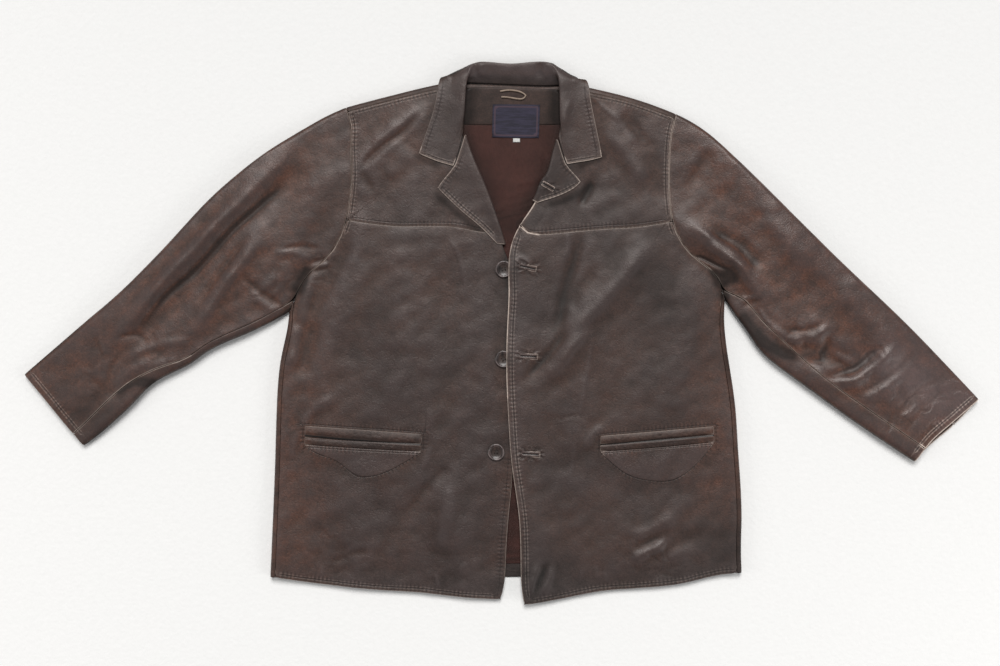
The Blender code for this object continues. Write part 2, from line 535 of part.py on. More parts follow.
def laid(name, grid, trees, thickness, finish, home, crown=None, clearance=SEAM_GAP, reach=0.003):
    """A thin piece that lies on others: its lower points are theirs, moved out."""
    rows, columns = len(grid) - 1, len(grid[0]) - 1
    lower = lift(grid, lambda x, y: height_over(trees, x, y, reach) + clearance)
    upper = []
    for row, line in enumerate(lower):
        extra = [crown(column / columns, row / rows) if crown else 0.0 for column in range(columns + 1)]
        upper.append([point + Vector((0, 0, thickness + more)) for point, more in zip(line, extra)])
    return slab(name, lower, upper, finish, home)


def roll_shape():
    """Inset and height, as shares, round a rolled edge from the floor up to the upper face."""
    steps = [math.pi * step / ROLL_STEPS for step in range(ROLL_STEPS + 1)]
    return [(1 - math.sin(angle), (1 - math.cos(angle)) / 2) for angle in steps]


def inward(line, distance, sense):
    """Direction in plan across a line, to the inside of the coat."""
    travel = line.along(distance)
    return Vector((travel.y, -travel.x)) * sense


def side_stations(side):
    """Edge point, roll inset vector and seam inset vector at each row of a side, from hem to armpit."""
    sense = 1 if side == "left" else -1
    edge, armhole = Line(SIDE[side]), Line(ARMHOLE[side])
    stations = []
    for row in range(SIDE_ROWS[side] + 1):
        distance = edge.length * row / SIDE_ROWS[side]
        across = inward(edge, distance, sense)
        stations.append((edge.at(distance), across * ROLL, across * SEAM_INSET))
    start = armhole.at(0.0)
    roll_end = armhole.at(ARMPIT_ROLL[side]) - start
    seam_end = armhole.at(ARMPIT_SEAM[side]) - start
    stations[-1] = (start, roll_end, seam_end)
    return stations


def shoulder_stations(side):
    """The same for a shoulder, from the armhole to the neck."""
    sense = 1 if side == "left" else -1
    edge, armhole = Line(SHOULDER[side]), Line(ARMHOLE[side])
    stations = []
    for column in range(SHOULDER_COLUMNS + 1):
        distance = edge.length * column / SHOULDER_COLUMNS
        across = inward(edge, distance, sense)
        stations.append((edge.at(distance), across * ROLL, across * SEAM_INSET))
    tip = armhole.at(armhole.length)
    down = -armhole.along(armhole.length)
    stations[0] = (tip, down * ROLL, down * SEAM_INSET)
    return stations


def armhole_points(side, first, last, count, shift):
    """Points along an armhole, moved by half a seam's gap to the body (+1) or the sleeve (-1)."""
    sense = 1 if side == "left" else -1
    line = Line(ARMHOLE[side])
    points = []
    for step in range(count + 1):
        distance = first + (last - first) * step / count
        points.append(line.at(distance) + inward(line, distance, sense) * shift * SEAM_GAP / 2)
    return points


def armhole_marks(side):
    """Distances along an armhole: side seam, yoke seam and shoulder seam, and the length."""
    line = Line(ARMHOLE[side])
    return ARMPIT_SEAM[side], line.nearest(YOKE_SEAM[side][0]), line.length - SEAM_INSET, line.length


def rim(stations, side, gap_at):
    """Grid round a rolled edge: floor, roll, and on over the top as far as the seam."""
    rows = []
    for place, (point, roll, seam) in enumerate(stations):
        moved = point + gap_at.get(place, Vector((0, 0)))
        top = moved + roll
        height = top_height(top.x, top.y, side)
        base = neck_raise(top.x, top.y)
        line = []
        for inset, share in roll_shape():
            flat = moved + roll * inset
            line.append(Vector((flat.x, flat.y, base + (height - base) * share)))
        end = moved + seam * (1 - SEAM_GAP / 2 / seam.length)
        line.append(Vector((end.x, end.y, top_height(end.x, end.y, side))))
        rows.append(line)
    return rows


def armhole_shift(side, low):
    """Half a gap from the armhole to the body, at the armpit or at the shoulder tip."""
    sense = 1 if side == "left" else -1
    line = Line(ARMHOLE[side])
    distance = 0.004 if low else line.length - 0.004
    return inward(line, distance, sense) * SEAM_GAP / 2


def back(finish, home):
    edges = {}
    rims = []
    shoulders = {}
    for side in ("left", "right"):
        stations = side_stations(side)
        shift = armhole_shift(side, low=True)
        rims.append(rim(stations, side, {SIDE_ROWS[side]: shift}))
        lower = [point + roll for point, roll, seam in stations]
        lower[-1] += shift
        length = Line(ARMHOLE[side]).length
        upper = armhole_points(side, ARMPIT_ROLL[side], length - ROLL, UNDER_ROWS[side], 1)
        tip = shoulder_stations(side)
        tip_shift = armhole_shift(side, low=False)
        rims.append(rim(tip, side, {0: tip_shift}))
        upper[0] = lower[-1]
        upper[-1] = tip[0][0] + tip[0][1] + tip_shift
        edges[side] = lower[:-1] + upper
        shoulders[side] = [point + roll for point, roll, seam in tip]
        shoulders[side][0] = upper[-1]
    neck = Line(BACK_NECK).spaced(NECK_COLUMNS)
    top = shoulders["left"][:-1] + neck + shoulders["right"][:-1][::-1]
    shoulders["left"][-1] = neck[0]
    top[SHOULDER_COLUMNS] = rims[1][-1][0].to_2d()
    top[SHOULDER_COLUMNS + NECK_COLUMNS] = rims[3][-1][0].to_2d()
    bottom = Line(BACK_HEM).spaced(len(top) - 1)
    bottom[0], bottom[-1] = edges["left"][0], edges["right"][0]
    flat = lift(patch(bottom, top, edges["left"], edges["right"]), neck_raise)
    return shell("back", [flat] + rims, LEATHER, finish, home)


def front_outline(side):
    """Left, right, bottom and top edges of a front in plan, hem to yoke seam."""
    stations = side_stations(side)
    outer = [point + seam for point, roll, seam in stations]
    low, yoke, high, length = armhole_marks(side)
    outer += armhole_points(side, low, yoke, ARMHOLE_ROWS[side], 0)[1:]
    inner = Line(FRONT_EDGE[side]).spaced(len(outer) - 1)
    bottom = Line(FRONT_HEM[side]).spaced(FRONT_COLUMNS)
    top = Line(YOKE_SEAM[side]).spaced(FRONT_COLUMNS)
    bottom[0], top[0] = outer[0], outer[-1]
    bottom[-1], top[-1] = inner[0], inner[-1]
    return outer, inner, bottom, top


def front(side, finish, home):
    outer, inner, bottom, top = front_outline(side)
    grid = pull_in(patch(bottom, top, outer, inner), SEAM_GAP / 2)
    return panel("front_" + side, grid, side, finish, home)


def yoke(side, finish, home):
    low, seam, high, length = armhole_marks(side)
    outer = armhole_points(side, seam, high, YOKE_ROWS, 0)
    inner = [Vector(point) for point in NECK_EDGE[side]]
    bottom = front_outline(side)[3]
    stations = shoulder_stations(side)
    shoulder = Line([point + across for point, roll, across in stations])
    top = shoulder.spaced(FRONT_COLUMNS)
    bottom[0], top[0] = outer[0], outer[-1]
    bottom[-1], top[-1] = inner[0], inner[-1]
    grid = pull_in(patch(bottom, top, outer, inner), SEAM_GAP / 2)
    return panel("yoke_" + side, grid, side, finish, home)


class SleevePlan:
    """A sleeve in plan, read by the share of its width from the lower edge and of its length from the armhole."""

    def __init__(self, side):
        self.side = side
        self.lower = Line(SLEEVE_LOWER[side])
        self.outer = Line(SLEEVE_OUTER[side])
        self.armhole = Line(ARMHOLE[side])
        self.cuff = Line(CUFF[side])

    def place(self, across, down):
        low, high = self.lower.share(down), self.outer.share(down)
        near, far = self.armhole.share(across), self.cuff.share(across)
        start = self.armhole.share(0).lerp(self.armhole.share(1), across)
        end = self.cuff.share(0).lerp(self.cuff.share(1), across)
        fade = max(1 - down / ARMHOLE_FADE, 0.0) ** 2
        return low.lerp(high, across) + (near - start) * fade + (far - end) * down + self.push(across, down)

    def push(self, across, down):
        """Turns the start of the right sleeve's strips upwards, where its armhole seam slants."""
        if self.side == "left" or down > ARMHOLE_PUSH_END:
            return Vector((0, 0))
        reach = down * (1 - down / ARMHOLE_PUSH_END) ** 2
        share = smooth(across, 0.0, 0.12) * smooth(across, 0.60, 0.30)
        return ARMHOLE_PUSH * reach * share

    def width(self, down):
        if down == 0:
            return self.armhole.length
        return (self.lower.share(down) - self.outer.share(down)).length

    def inset(self, down, at_armhole, elsewhere):
        """Share of the width that a distance takes, which differs at the armhole."""
        distance = at_armhole + (elsewhere - at_armhole) * smooth(down, 0.0, 0.10)
        width = self.width(0) + (self.width(down) - self.width(0)) * smooth(down, 0.0, 0.05)
        return distance / width


def seam_depth(side, down):
    depths = SLEEVE_SEAM[side]
    place = min(int(down * (len(depths) - 1)), len(depths) - 2)
    share = down * (len(depths) - 1) - place
    return depths[place] + (depths[place + 1] - depths[place]) * share


def sleeve_ring(plan, down):
    """Shares of the width and of the height round a sleeve: the under piece's line and the upper piece's."""
    side = plan.side
    low_roll = plan.inset(down, ARMPIT_ROLL[side], SLEEVE_ROLL)
    high_roll = plan.inset(down, ROLL, SLEEVE_ROLL)
    seam = plan.inset(down, seam_depth(side, down), seam_depth(side, down))
    half_gap = SLEEVE_SEAM_GAP / 2 / plan.width(down)
    low_mark, yoke_mark, high_mark, length = armhole_marks(side)
    rows = UNDER_ROWS[side]
    floor = [low_roll + (1 - high_roll - low_roll) * step / rows for step in range(rows + 1)]
    split = round(rows * UNDER_SEAM)
    under = [(share, 0.0) for share in floor[:split]]
    under.append((floor[split] - half_gap, 0.0))
    under.reverse()
    under += [(low_roll * inset, height) for inset, height in roll_shape()][1:]
    under.append((seam - half_gap, 1.0))
    upper = [(floor[split] + half_gap, 0.0)]
    upper += [(share, 0.0) for share in floor[split + 1:]]
    upper += [(1 - high_roll * inset, height) for inset, height in roll_shape()][1:]
    marks = [high_mark + (yoke_mark - high_mark) * step / YOKE_ROWS for step in range(YOKE_ROWS)]
    count = ARMHOLE_ROWS[side]
    marks += [yoke_mark + (low_mark - yoke_mark) * step / count for step in range(count)]
    even = 1 - high_roll
    for step, mark in enumerate(marks):
        at_armhole = mark / length
        elsewhere = even + (seam - even) * (step + 0.6) / len(marks)
        share = at_armhole + (elsewhere - at_armhole) * smooth(down, 0.0, 0.35)
        upper.append((share, 1.0))
    upper.append((seam + half_gap, 1.0))
    return under, upper


def sleeve(side, finish, home):
    plan = SleevePlan(side)
    sense = 1 if side == "left" else -1
    rings = {"under": [], "upper": []}
    for row in range(SLEEVE_ROWS + 1):
        down = row / SLEEVE_ROWS
        spread = down + 0.30 * down * (1 - down) * (down - 0.5)
        under, upper = sleeve_ring(plan, spread)
        for piece, ring in (("under", under), ("upper", upper)):
            line = []
            for across, height in ring:
                flat = plan.place(across, spread)
                if row == 0:
                    distance = across * plan.armhole.length
                    flat -= inward(plan.armhole, distance, sense) * SEAM_GAP
                if row == SLEEVE_ROWS and height == 0.0:
                    reach = plan.lower.along(plan.lower.length)
                    flat += reach * CUFF_REVEAL[side] * math.sin(math.pi * across)
                inner = plan.place(min(max(across, 0.06), 0.94), spread)
                top = top_height(inner.x, inner.y, side)
                if height == 1.0:
                    top = top_height(flat.x, flat.y, side)
                line.append(Vector((flat.x, flat.y, top * height)))
            rings[piece].append(line)
    for piece, rows in rings.items():
        shell("sleeve_" + side + "_" + piece, [rows], LEATHER, finish, home)


def lapel(side, trees, finish, home):
    """The facing of a front turned back over it, with the roll that leads down to the front's own edge."""
    sense = -1 if side == "left" else 1
    roll_line = Line(LAPEL_ROLL[side])
    rows, columns = 9, 6
    roll_reach, full_height = 0.0030, 0.0064
    crest = []
    for row in range(rows + 1):
        distance = roll_line.length * row / rows
        travel = roll_line.along(distance)
        across = Vector((travel.y, -travel.x)) * sense
        crest.append((roll_line.at(distance), across * roll_reach))
    free = Line(LAPEL_EDGE[side]).spaced(rows)
    inner = [point + across for point, across in crest]
    top = Line(LAPEL_TOP[side]).spaced(columns)
    top[-1] = inner[-1]
    bottom = [free[0].lerp(inner[0], step / columns) for step in range(columns + 1)]
    plan = pull_in(patch(bottom, top, free, inner), SEAM_GAP / 2)
    grid = []
    for row, line in enumerate(plan):
        point, across = crest[row]
        front_top = top_height(inner[row].x, inner[row].y, side)
        roll_height = full_height - 0.0022 * smooth(row / rows, 0.25, 0.0)
        fold_top = front_top - LEATHER + roll_height
        points = []
        for column, place in enumerate(line):
            share = smooth(column / columns, 0.3, 1.0)
            lying = height_over(trees, place.x, place.y, 0.004) + SEAM_GAP + THIN_LEATHER
            points.append(Vector((place.x, place.y, max(lying, lying + (fold_top - lying) * share))))
        outer = plan[row][-1]
        for inset, share in roll_shape()[::-1][1:]:
            flat = outer - across * (1 - inset)
            points.append(Vector((flat.x, flat.y, fold_top - roll_height * (1 - share))))
        grid.append(points)
    return shell("lapel_" + side, [grid], THIN_LEATHER, finish, home)


def collar(finish, home):
    """A band lofted from its free edge over the fall and the roll down to the neck seam."""
    tracks = []
    for points in (COLLAR_EDGE, COLLAR_FOLD, COLLAR_CREST, COLLAR_NECK):
        tracks.append(curve_through(points, [1] * (len(points) - 1)))
    grid = []
    for section in zip(*tracks):
        line = curve_through(section, COLLAR_STRIPS)
        for point in line:
            point.z = max(point.z, LEATHER / 2)
        grid.append(line)
    return shell("collar", [grid], LEATHER, finish, home, offset=0.0)


def straight(start, end, count):
    return [Vector(start).lerp(Vector(end), step / count) for step in range(count + 1)]


def rectangle(corners, columns, rows):
    """Grid in plan between four corners given round from the lower left."""
    low_left, low_right, high_right, high_left = corners
    return patch(straight(low_left, low_right, columns), straight(high_left, high_right, columns),
                 straight(low_left, high_left, rows), straight(low_right, high_right, rows))


def lining(trees, finish, home):
    outline = {name: Line(points) for name, points in LINING_OUTLINE.items()}
    grid = patch(outline["bottom"].spaced(8), outline["top"].spaced(8),
                 outline["left"].spaced(12), outline["right"].spaced(12))
    return laid("lining_back", grid, trees, LINING, finish, home)


def facing(trees, finish, home):
    bottom, top = Line(FACING_OUTLINE["bottom"]), Line(FACING_OUTLINE["top"])
    grid = patch(bottom.spaced(8), top.spaced(8), straight(bottom.share(0), top.share(0), 3),
                 straight(bottom.share(1), top.share(1), 3))
    return laid("back_neck_facing", grid, trees, LINING, finish, home)


def button(number, place, trees, finish, home, tools):
    """A turned disc with a rim and a sunk middle, bored with four thread holes."""
    base = height_over(trees, place[0], place[1], BUTTON_RADIUS) + SEAM_GAP
    radius, height = BUTTON_RADIUS, BUTTON_HEIGHT
    outline = [(0.0, 0.68), (0.62, 0.68), (0.72, 0.94), (0.84, 1.0), (0.96, 0.82), (1.0, 0.45), (0.88, 0.0),
               (0.0, 0.0)]
    mesh = bmesh.new()
    points = [mesh.verts.new((share * radius, 0.0, level * height)) for share, level in outline]
    for start, end in zip(points, points[1:]):
        mesh.edges.new((start, end))
    made = add_object("button_" + str(number), mesh, finish, home, rounded=False)
    made.location = (place[0], place[1], base)
    turn = made.modifiers.new("turn", "SCREW")
    turn.steps = turn.render_steps = 20
    turn.use_merge_vertices = True
    turn.merge_threshold = 0.00005
    for hole in range(4):
        angle = math.radians(45 + 90 * hole)
        reach = BUTTON_HOLE_OFFSET
        spot = (place[0] + reach * math.cos(angle), place[1] + reach * math.sin(angle), base + height / 2)
        bpy.ops.mesh.primitive_cylinder_add(vertices=8, radius=BUTTON_HOLE_RADIUS, depth=2 * height, location=spot)
        drill = bpy.context.active_object
        drill.name = "thread_hole_" + str(number) + "_" + str(hole + 1)
        drill.hide_render = True
        drill.display_type = "WIRE"
        for group in list(drill.users_collection):
            group.objects.unlink(drill)
        tools.objects.link(drill)
        cut = made.modifiers.new("thread hole " + str(hole + 1), "BOOLEAN")
        cut.object = drill
        cut.operation = "DIFFERENCE"
        cut.solver = "EXACT"
    return made


def buttonhole(name, place, length, height, tilt, trees, finish, home):
    """A bound buttonhole: two soft lips with a slit between them."""
    turn = math.radians(tilt)
    along = Vector((math.cos(turn), math.sin(turn)))
    across = Vector((-along.y, along.x))
    centre = Vector(place)
    corners = [centre + along * length / 2 * right + across * height / 2 * up
               for right, up in ((-1, -1), (1, -1), (1, 1), (-1, 1))]

    def lips(u, v):
        end = smooth(min(u, 1 - u), 0.0, 0.12)
        return 0.0009 * end * math.sin(2 * math.pi * v) ** 2

    return laid(name, rectangle(corners, 5, 8), trees, 0.0004, finish, home, crown=lips, reach=0.0015)


def pocket(side, trees, finish, home):
    """Two welts that meet along the mouth, and the crescent under them."""
    shapes = POCKETS[side]

    def welt(u, v):
        return 0.0012 * math.sin(math.pi * v) ** 0.7 if 0 < v < 1 else 0.0

    def pouch(u, v):
        return 0.0004 * math.sin(math.pi * v)

    for name, rows, crown in (("upper", 4, welt), ("lower", 4, welt), ("crescent", 3, pouch)):
        high, low = shapes[name]
        columns = 10
        top, bottom = Line(high).spaced(columns), Line(low).spaced(columns)
        left = straight(bottom[0], top[0], rows)
        right = straight(bottom[-1], top[-1], rows)
        grid = patch(bottom, top, left, right)
        piece = "_crescent" if name == "crescent" else "_welt_" + name
        laid("pocket_" + side + piece, grid, trees, 0.0010, finish, home, crown=crown)


def hanger_loop(trees, finish, home):
    route = Line(HANGER_LOOP).spaced(14)
    data = bpy.data.curves.new("hanger_loop", "CURVE")
    data.dimensions = "3D"
    data.bevel_depth = HANGER_RADIUS
    data.bevel_resolution = 1
    data.use_fill_caps = True
    spline = data.splines.new("POLY")
    spline.points.add(len(route) - 1)
    level = max(height_over(trees, point.x, point.y, 0.003) for point in route) + SEAM_GAP + HANGER_RADIUS
    for place, point in zip(spline.points, route):
        place.co = (point.x, point.y, level, 1.0)
    data.materials.append(finish)
    made = bpy.data.objects.new("hanger_loop", data)
    home.objects.link(made)
    return made


def build():
    clear_scene()
    home = collection(COLLECTION)
    tools = collection("cutters")
    leather = material("brown_leather", (0.060, 0.040, 0.033), 0.42)
    sleeve_leather = material("sleeve_leather", (0.072, 0.040, 0.028), 0.45)
    collar_leather = material("collar_leather", (0.048, 0.038, 0.034), 0.40)
    cloth = material("lining_cloth", (0.070, 0.031, 0.025), 0.60)
    label_cloth = material("label_cloth", (0.030, 0.028, 0.060), 0.80)
    tab_cloth = material("tab_cloth", (0.60, 0.60, 0.60), 0.80)
    loop_leather = material("loop_leather", (0.200, 0.125, 0.085), 0.60)
    horn = material("button_resin", (0.045, 0.025, 0.022), 0.35)

    whole_back = back(leather, home)
    under = surface_of([whole_back])
    inner = lining(under, cloth, home)
    neck_facing = facing(under, leather, home)
    inside = surface_of([whole_back, inner, neck_facing])
    laid("label", rectangle(LABEL_CORNERS, 4, 3), inside, 0.0010, label_cloth, home)
    laid("size_tab", rectangle(SIZE_TAB_CORNERS, 2, 2), inside, 0.0010, tab_cloth, home)
    hanger_loop(inside, loop_leather, home)
    for side in ("left", "right"):
        whole_front = front(side, leather, home)
        top_yoke = yoke(side, leather, home)
        sleeve(side, sleeve_leather, home)
        upper = surface_of([whole_front, top_yoke])
        turned = lapel(side, upper, leather, home)
        pocket(side, upper, leather, home)
        if side == "left":
            for number, place in enumerate(BUTTONS, start=1):
                button(number, place, upper, horn, home, tools)
        else:
            lapel_top = surface_of([turned])
            for name, place, length, height, tilt in BUTTONHOLES:
                trees = lapel_top if name == "buttonhole_lapel" else upper
                buttonhole(name, place, length, height, tilt, trees, leather, home)
    collar(collar_leather, home)


build()
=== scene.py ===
# %% [markdown]
# # A worn leather coat, laid out flat
#
# The packed model holds every cut piece of the coat as a plain wall of leather or cloth. This script
# dresses those walls: it gives them finer creases, worn edges, stitches, turned buttons and finishes. It
# starts by loading the walls, which are never moved.

# %% Load the plain coat
import math

import bmesh
import bpy
import numpy as np
from mathutils import Matrix, Vector, noise
from mathutils.bvhtree import BVHTree
from mathutils.kdtree import KDTree


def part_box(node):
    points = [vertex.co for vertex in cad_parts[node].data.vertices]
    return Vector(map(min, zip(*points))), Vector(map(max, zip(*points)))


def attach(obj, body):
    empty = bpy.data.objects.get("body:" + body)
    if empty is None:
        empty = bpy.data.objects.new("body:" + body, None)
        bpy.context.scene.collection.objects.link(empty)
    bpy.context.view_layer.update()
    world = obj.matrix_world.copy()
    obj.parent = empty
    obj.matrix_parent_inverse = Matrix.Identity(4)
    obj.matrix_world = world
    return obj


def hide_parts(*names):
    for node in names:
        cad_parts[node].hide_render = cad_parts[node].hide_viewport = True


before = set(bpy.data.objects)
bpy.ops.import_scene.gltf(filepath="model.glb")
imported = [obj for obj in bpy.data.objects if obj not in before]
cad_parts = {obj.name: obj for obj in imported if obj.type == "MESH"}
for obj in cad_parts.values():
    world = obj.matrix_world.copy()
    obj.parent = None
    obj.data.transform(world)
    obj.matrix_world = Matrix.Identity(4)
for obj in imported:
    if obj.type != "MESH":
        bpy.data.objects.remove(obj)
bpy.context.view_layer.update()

print("pieces in the plain coat:", len(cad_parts))


# %% [markdown]
# ## Camera
#
# A coat laid on the floor is photographed from a ladder, straight down. One metre and a half of floor fits
# across the picture. The camera could stand anywhere on that line. From 2.4 m up, a long lens keeps the
# sleeves from leaning outwards.

# %% Camera
CAMERA_HEIGHT = 2.4
WIDTH_SEEN = 1.5
SENSOR = 36.0


def overhead_camera():
    view = bpy.data.cameras.new("camera")
    view.sensor_width = SENSOR
    view.lens = SENSOR * CAMERA_HEIGHT / WIDTH_SEEN
    camera = bpy.data.objects.new("camera", view)
    camera.location = (-0.003, -0.003, CAMERA_HEIGHT + 0.008)
    bpy.context.scene.collection.objects.link(camera)
    bpy.context.scene.camera = camera
    return camera


print("lens in mm:", round(overhead_camera().data.lens, 1))


# %% [markdown]
# ## Light
#
# The coat was photographed in soft light from a window or an overcast sky. A bright patch of sky, far away
# and high beyond the collar, lights every part of the coat alike: sides of folds that tilt towards it
# gleam, flat parts mirror the darker air above and stay deep brown. A sun lamp with a wide angle does that.
# Panels at the sides fill the shadows. The colours are shown without a film curve, so that the ground comes
# out as white as in the picture.

# %% Light
SKY_PATCH = {"lean": (0.0, 0.64), "wide": 30, "strength": 2.38, "colour": (1.0, 0.985, 0.965)}
SIDE_PANELS = {
    "side_left": ((-2.6, -0.3, 1.3), 14.0, (1.0, 0.97, 0.94)),
    "side_right": ((2.4, -1.2, 1.4), 18.0, (1.0, 0.98, 0.96)),
}
PANEL_SIZE = (1.6, 1.2)
SKY_COLOUR = (0.96, 0.98, 1.0)
SKY_STRENGTH = 0.24


def panel_light(name, place, size, power, colour):
    lamp = bpy.data.lights.new(name, "AREA")
    lamp.shape = "RECTANGLE"
    lamp.size, lamp.size_y = size
    lamp.energy = power
    lamp.color = colour
    holder = bpy.data.objects.new(name, lamp)
    holder.location = place
    holder.rotation_euler = (-Vector(place)).to_track_quat("-Z", "Y").to_euler()
    holder.visible_camera = False
    bpy.context.scene.collection.objects.link(holder)
    return holder


def even_sky(colour, strength):
    sky = bpy.data.worlds.new("even_sky")
    sky.use_nodes = True
    sky.node_tree.nodes["Background"].inputs["Color"].default_value = (*colour, 1.0)
    sky.node_tree.nodes["Background"].inputs["Strength"].default_value = strength
    bpy.context.scene.world = sky


def bright_sky_patch(lean, wide, strength, colour):
    """Light from far away: lean is how far from straight up, towards the right and towards the collar."""
    lamp = bpy.data.lights.new("sky_patch", "SUN")
    lamp.angle, lamp.energy, lamp.color = math.radians(wide), strength, colour
    holder = bpy.data.objects.new("sky_patch", lamp)
    holder.rotation_euler = Vector((-lean[0], -lean[1], -1.0)).to_track_quat("-Z", "Y").to_euler()
    bpy.context.scene.collection.objects.link(holder)
    return holder


bright_sky_patch(**SKY_PATCH)
for name, (place, power, colour) in SIDE_PANELS.items():
    panel_light(name, place, PANEL_SIZE, power, colour)
even_sky(SKY_COLOUR, SKY_STRENGTH)
bpy.context.scene.view_settings.view_transform = "Standard"
print("sky patch:", SKY_PATCH["wide"], "degrees wide; side panels:", len(SIDE_PANELS))


# %% [markdown]
# ## Helpers for lines and maps
#
# Creases, seams and rows of stitches are all drawn as lines through a few points, in metres on the floor. A
# smooth line through them comes from a spline. Distances from many points of a piece to such a line are
# worked out for all of them at once, because a panel has tens of thousands of points.

# %% Lines
def smooth_line(points, steps=6):
    """A soft line through the given points, with a few steps between each two."""
    guide = np.array(points, float)
    guide = np.vstack([2 * guide[0] - guide[1], guide, 2 * guide[-1] - guide[-2]])
    line = []
    for before, start, end, after in zip(guide, guide[1:], guide[2:], guide[3:]):
        for step in range(steps):
            t = step / steps
            line.append(0.5 * (2 * start + (end - before) * t
                               + (2 * before - 5 * start + 4 * end - after) * t * t
                               + (3 * start - before - 3 * end + after) * t ** 3))
    line.append(guide[-2])
    return np.array(line)


def beside(line, gap):
    """The same line moved sideways, to the left of its direction where the gap is above zero."""
    run = np.gradient(line, axis=0)
    run /= np.linalg.norm(run, axis=1)[:, None]
    return line + gap * np.stack([-run[:, 1], run[:, 0]], axis=1)


def part_of(line, start, end):
    """The stretch of a line between two shares of its length."""
    lengths = np.concatenate([[0], np.cumsum(np.linalg.norm(np.diff(line, axis=0), axis=1))])
    count = max(int((end - start) * len(line) * 1.5), 8)
    places = np.linspace(start, end, count) * lengths[-1]
    return np.stack([np.interp(places, lengths, line[:, axis]) for axis in (0, 1)], axis=1)


def distance_to(places, line):
    """For each place, its distance to the line and how far along the line the nearest point is."""
    best = np.full(len(places), 9.0)
    along = np.zeros(len(places))
    travelled = 0.0
    for start, end in zip(line, line[1:]):
        run = end - start
        length = np.linalg.norm(run)
        share = np.clip((places - start) @ run / max(length ** 2, 1e-12), 0.0, 1.0)
        gap = np.linalg.norm(places - start - share[:, None] * run, axis=1)
        nearer = gap < best
        best = np.where(nearer, gap, best)
        along = np.where(nearer, travelled + share * length, along)
        travelled += length
    return best, along


def soft_step(value, low, high):
    """From zero at low to one at high, with soft ends. It falls where high is below low."""
    share = np.clip((value - low) / (high - low), 0.0, 1.0)
    return share * share * (3 - 2 * share)


def hump(gap, width):
    """One on a line and soft towards zero on both sides of it."""
    return np.exp(-(gap / width) ** 2)


print("points in a smooth line through four:", len(smooth_line([(0, 0), (1, 1), (2, 1), (3, 0)])))
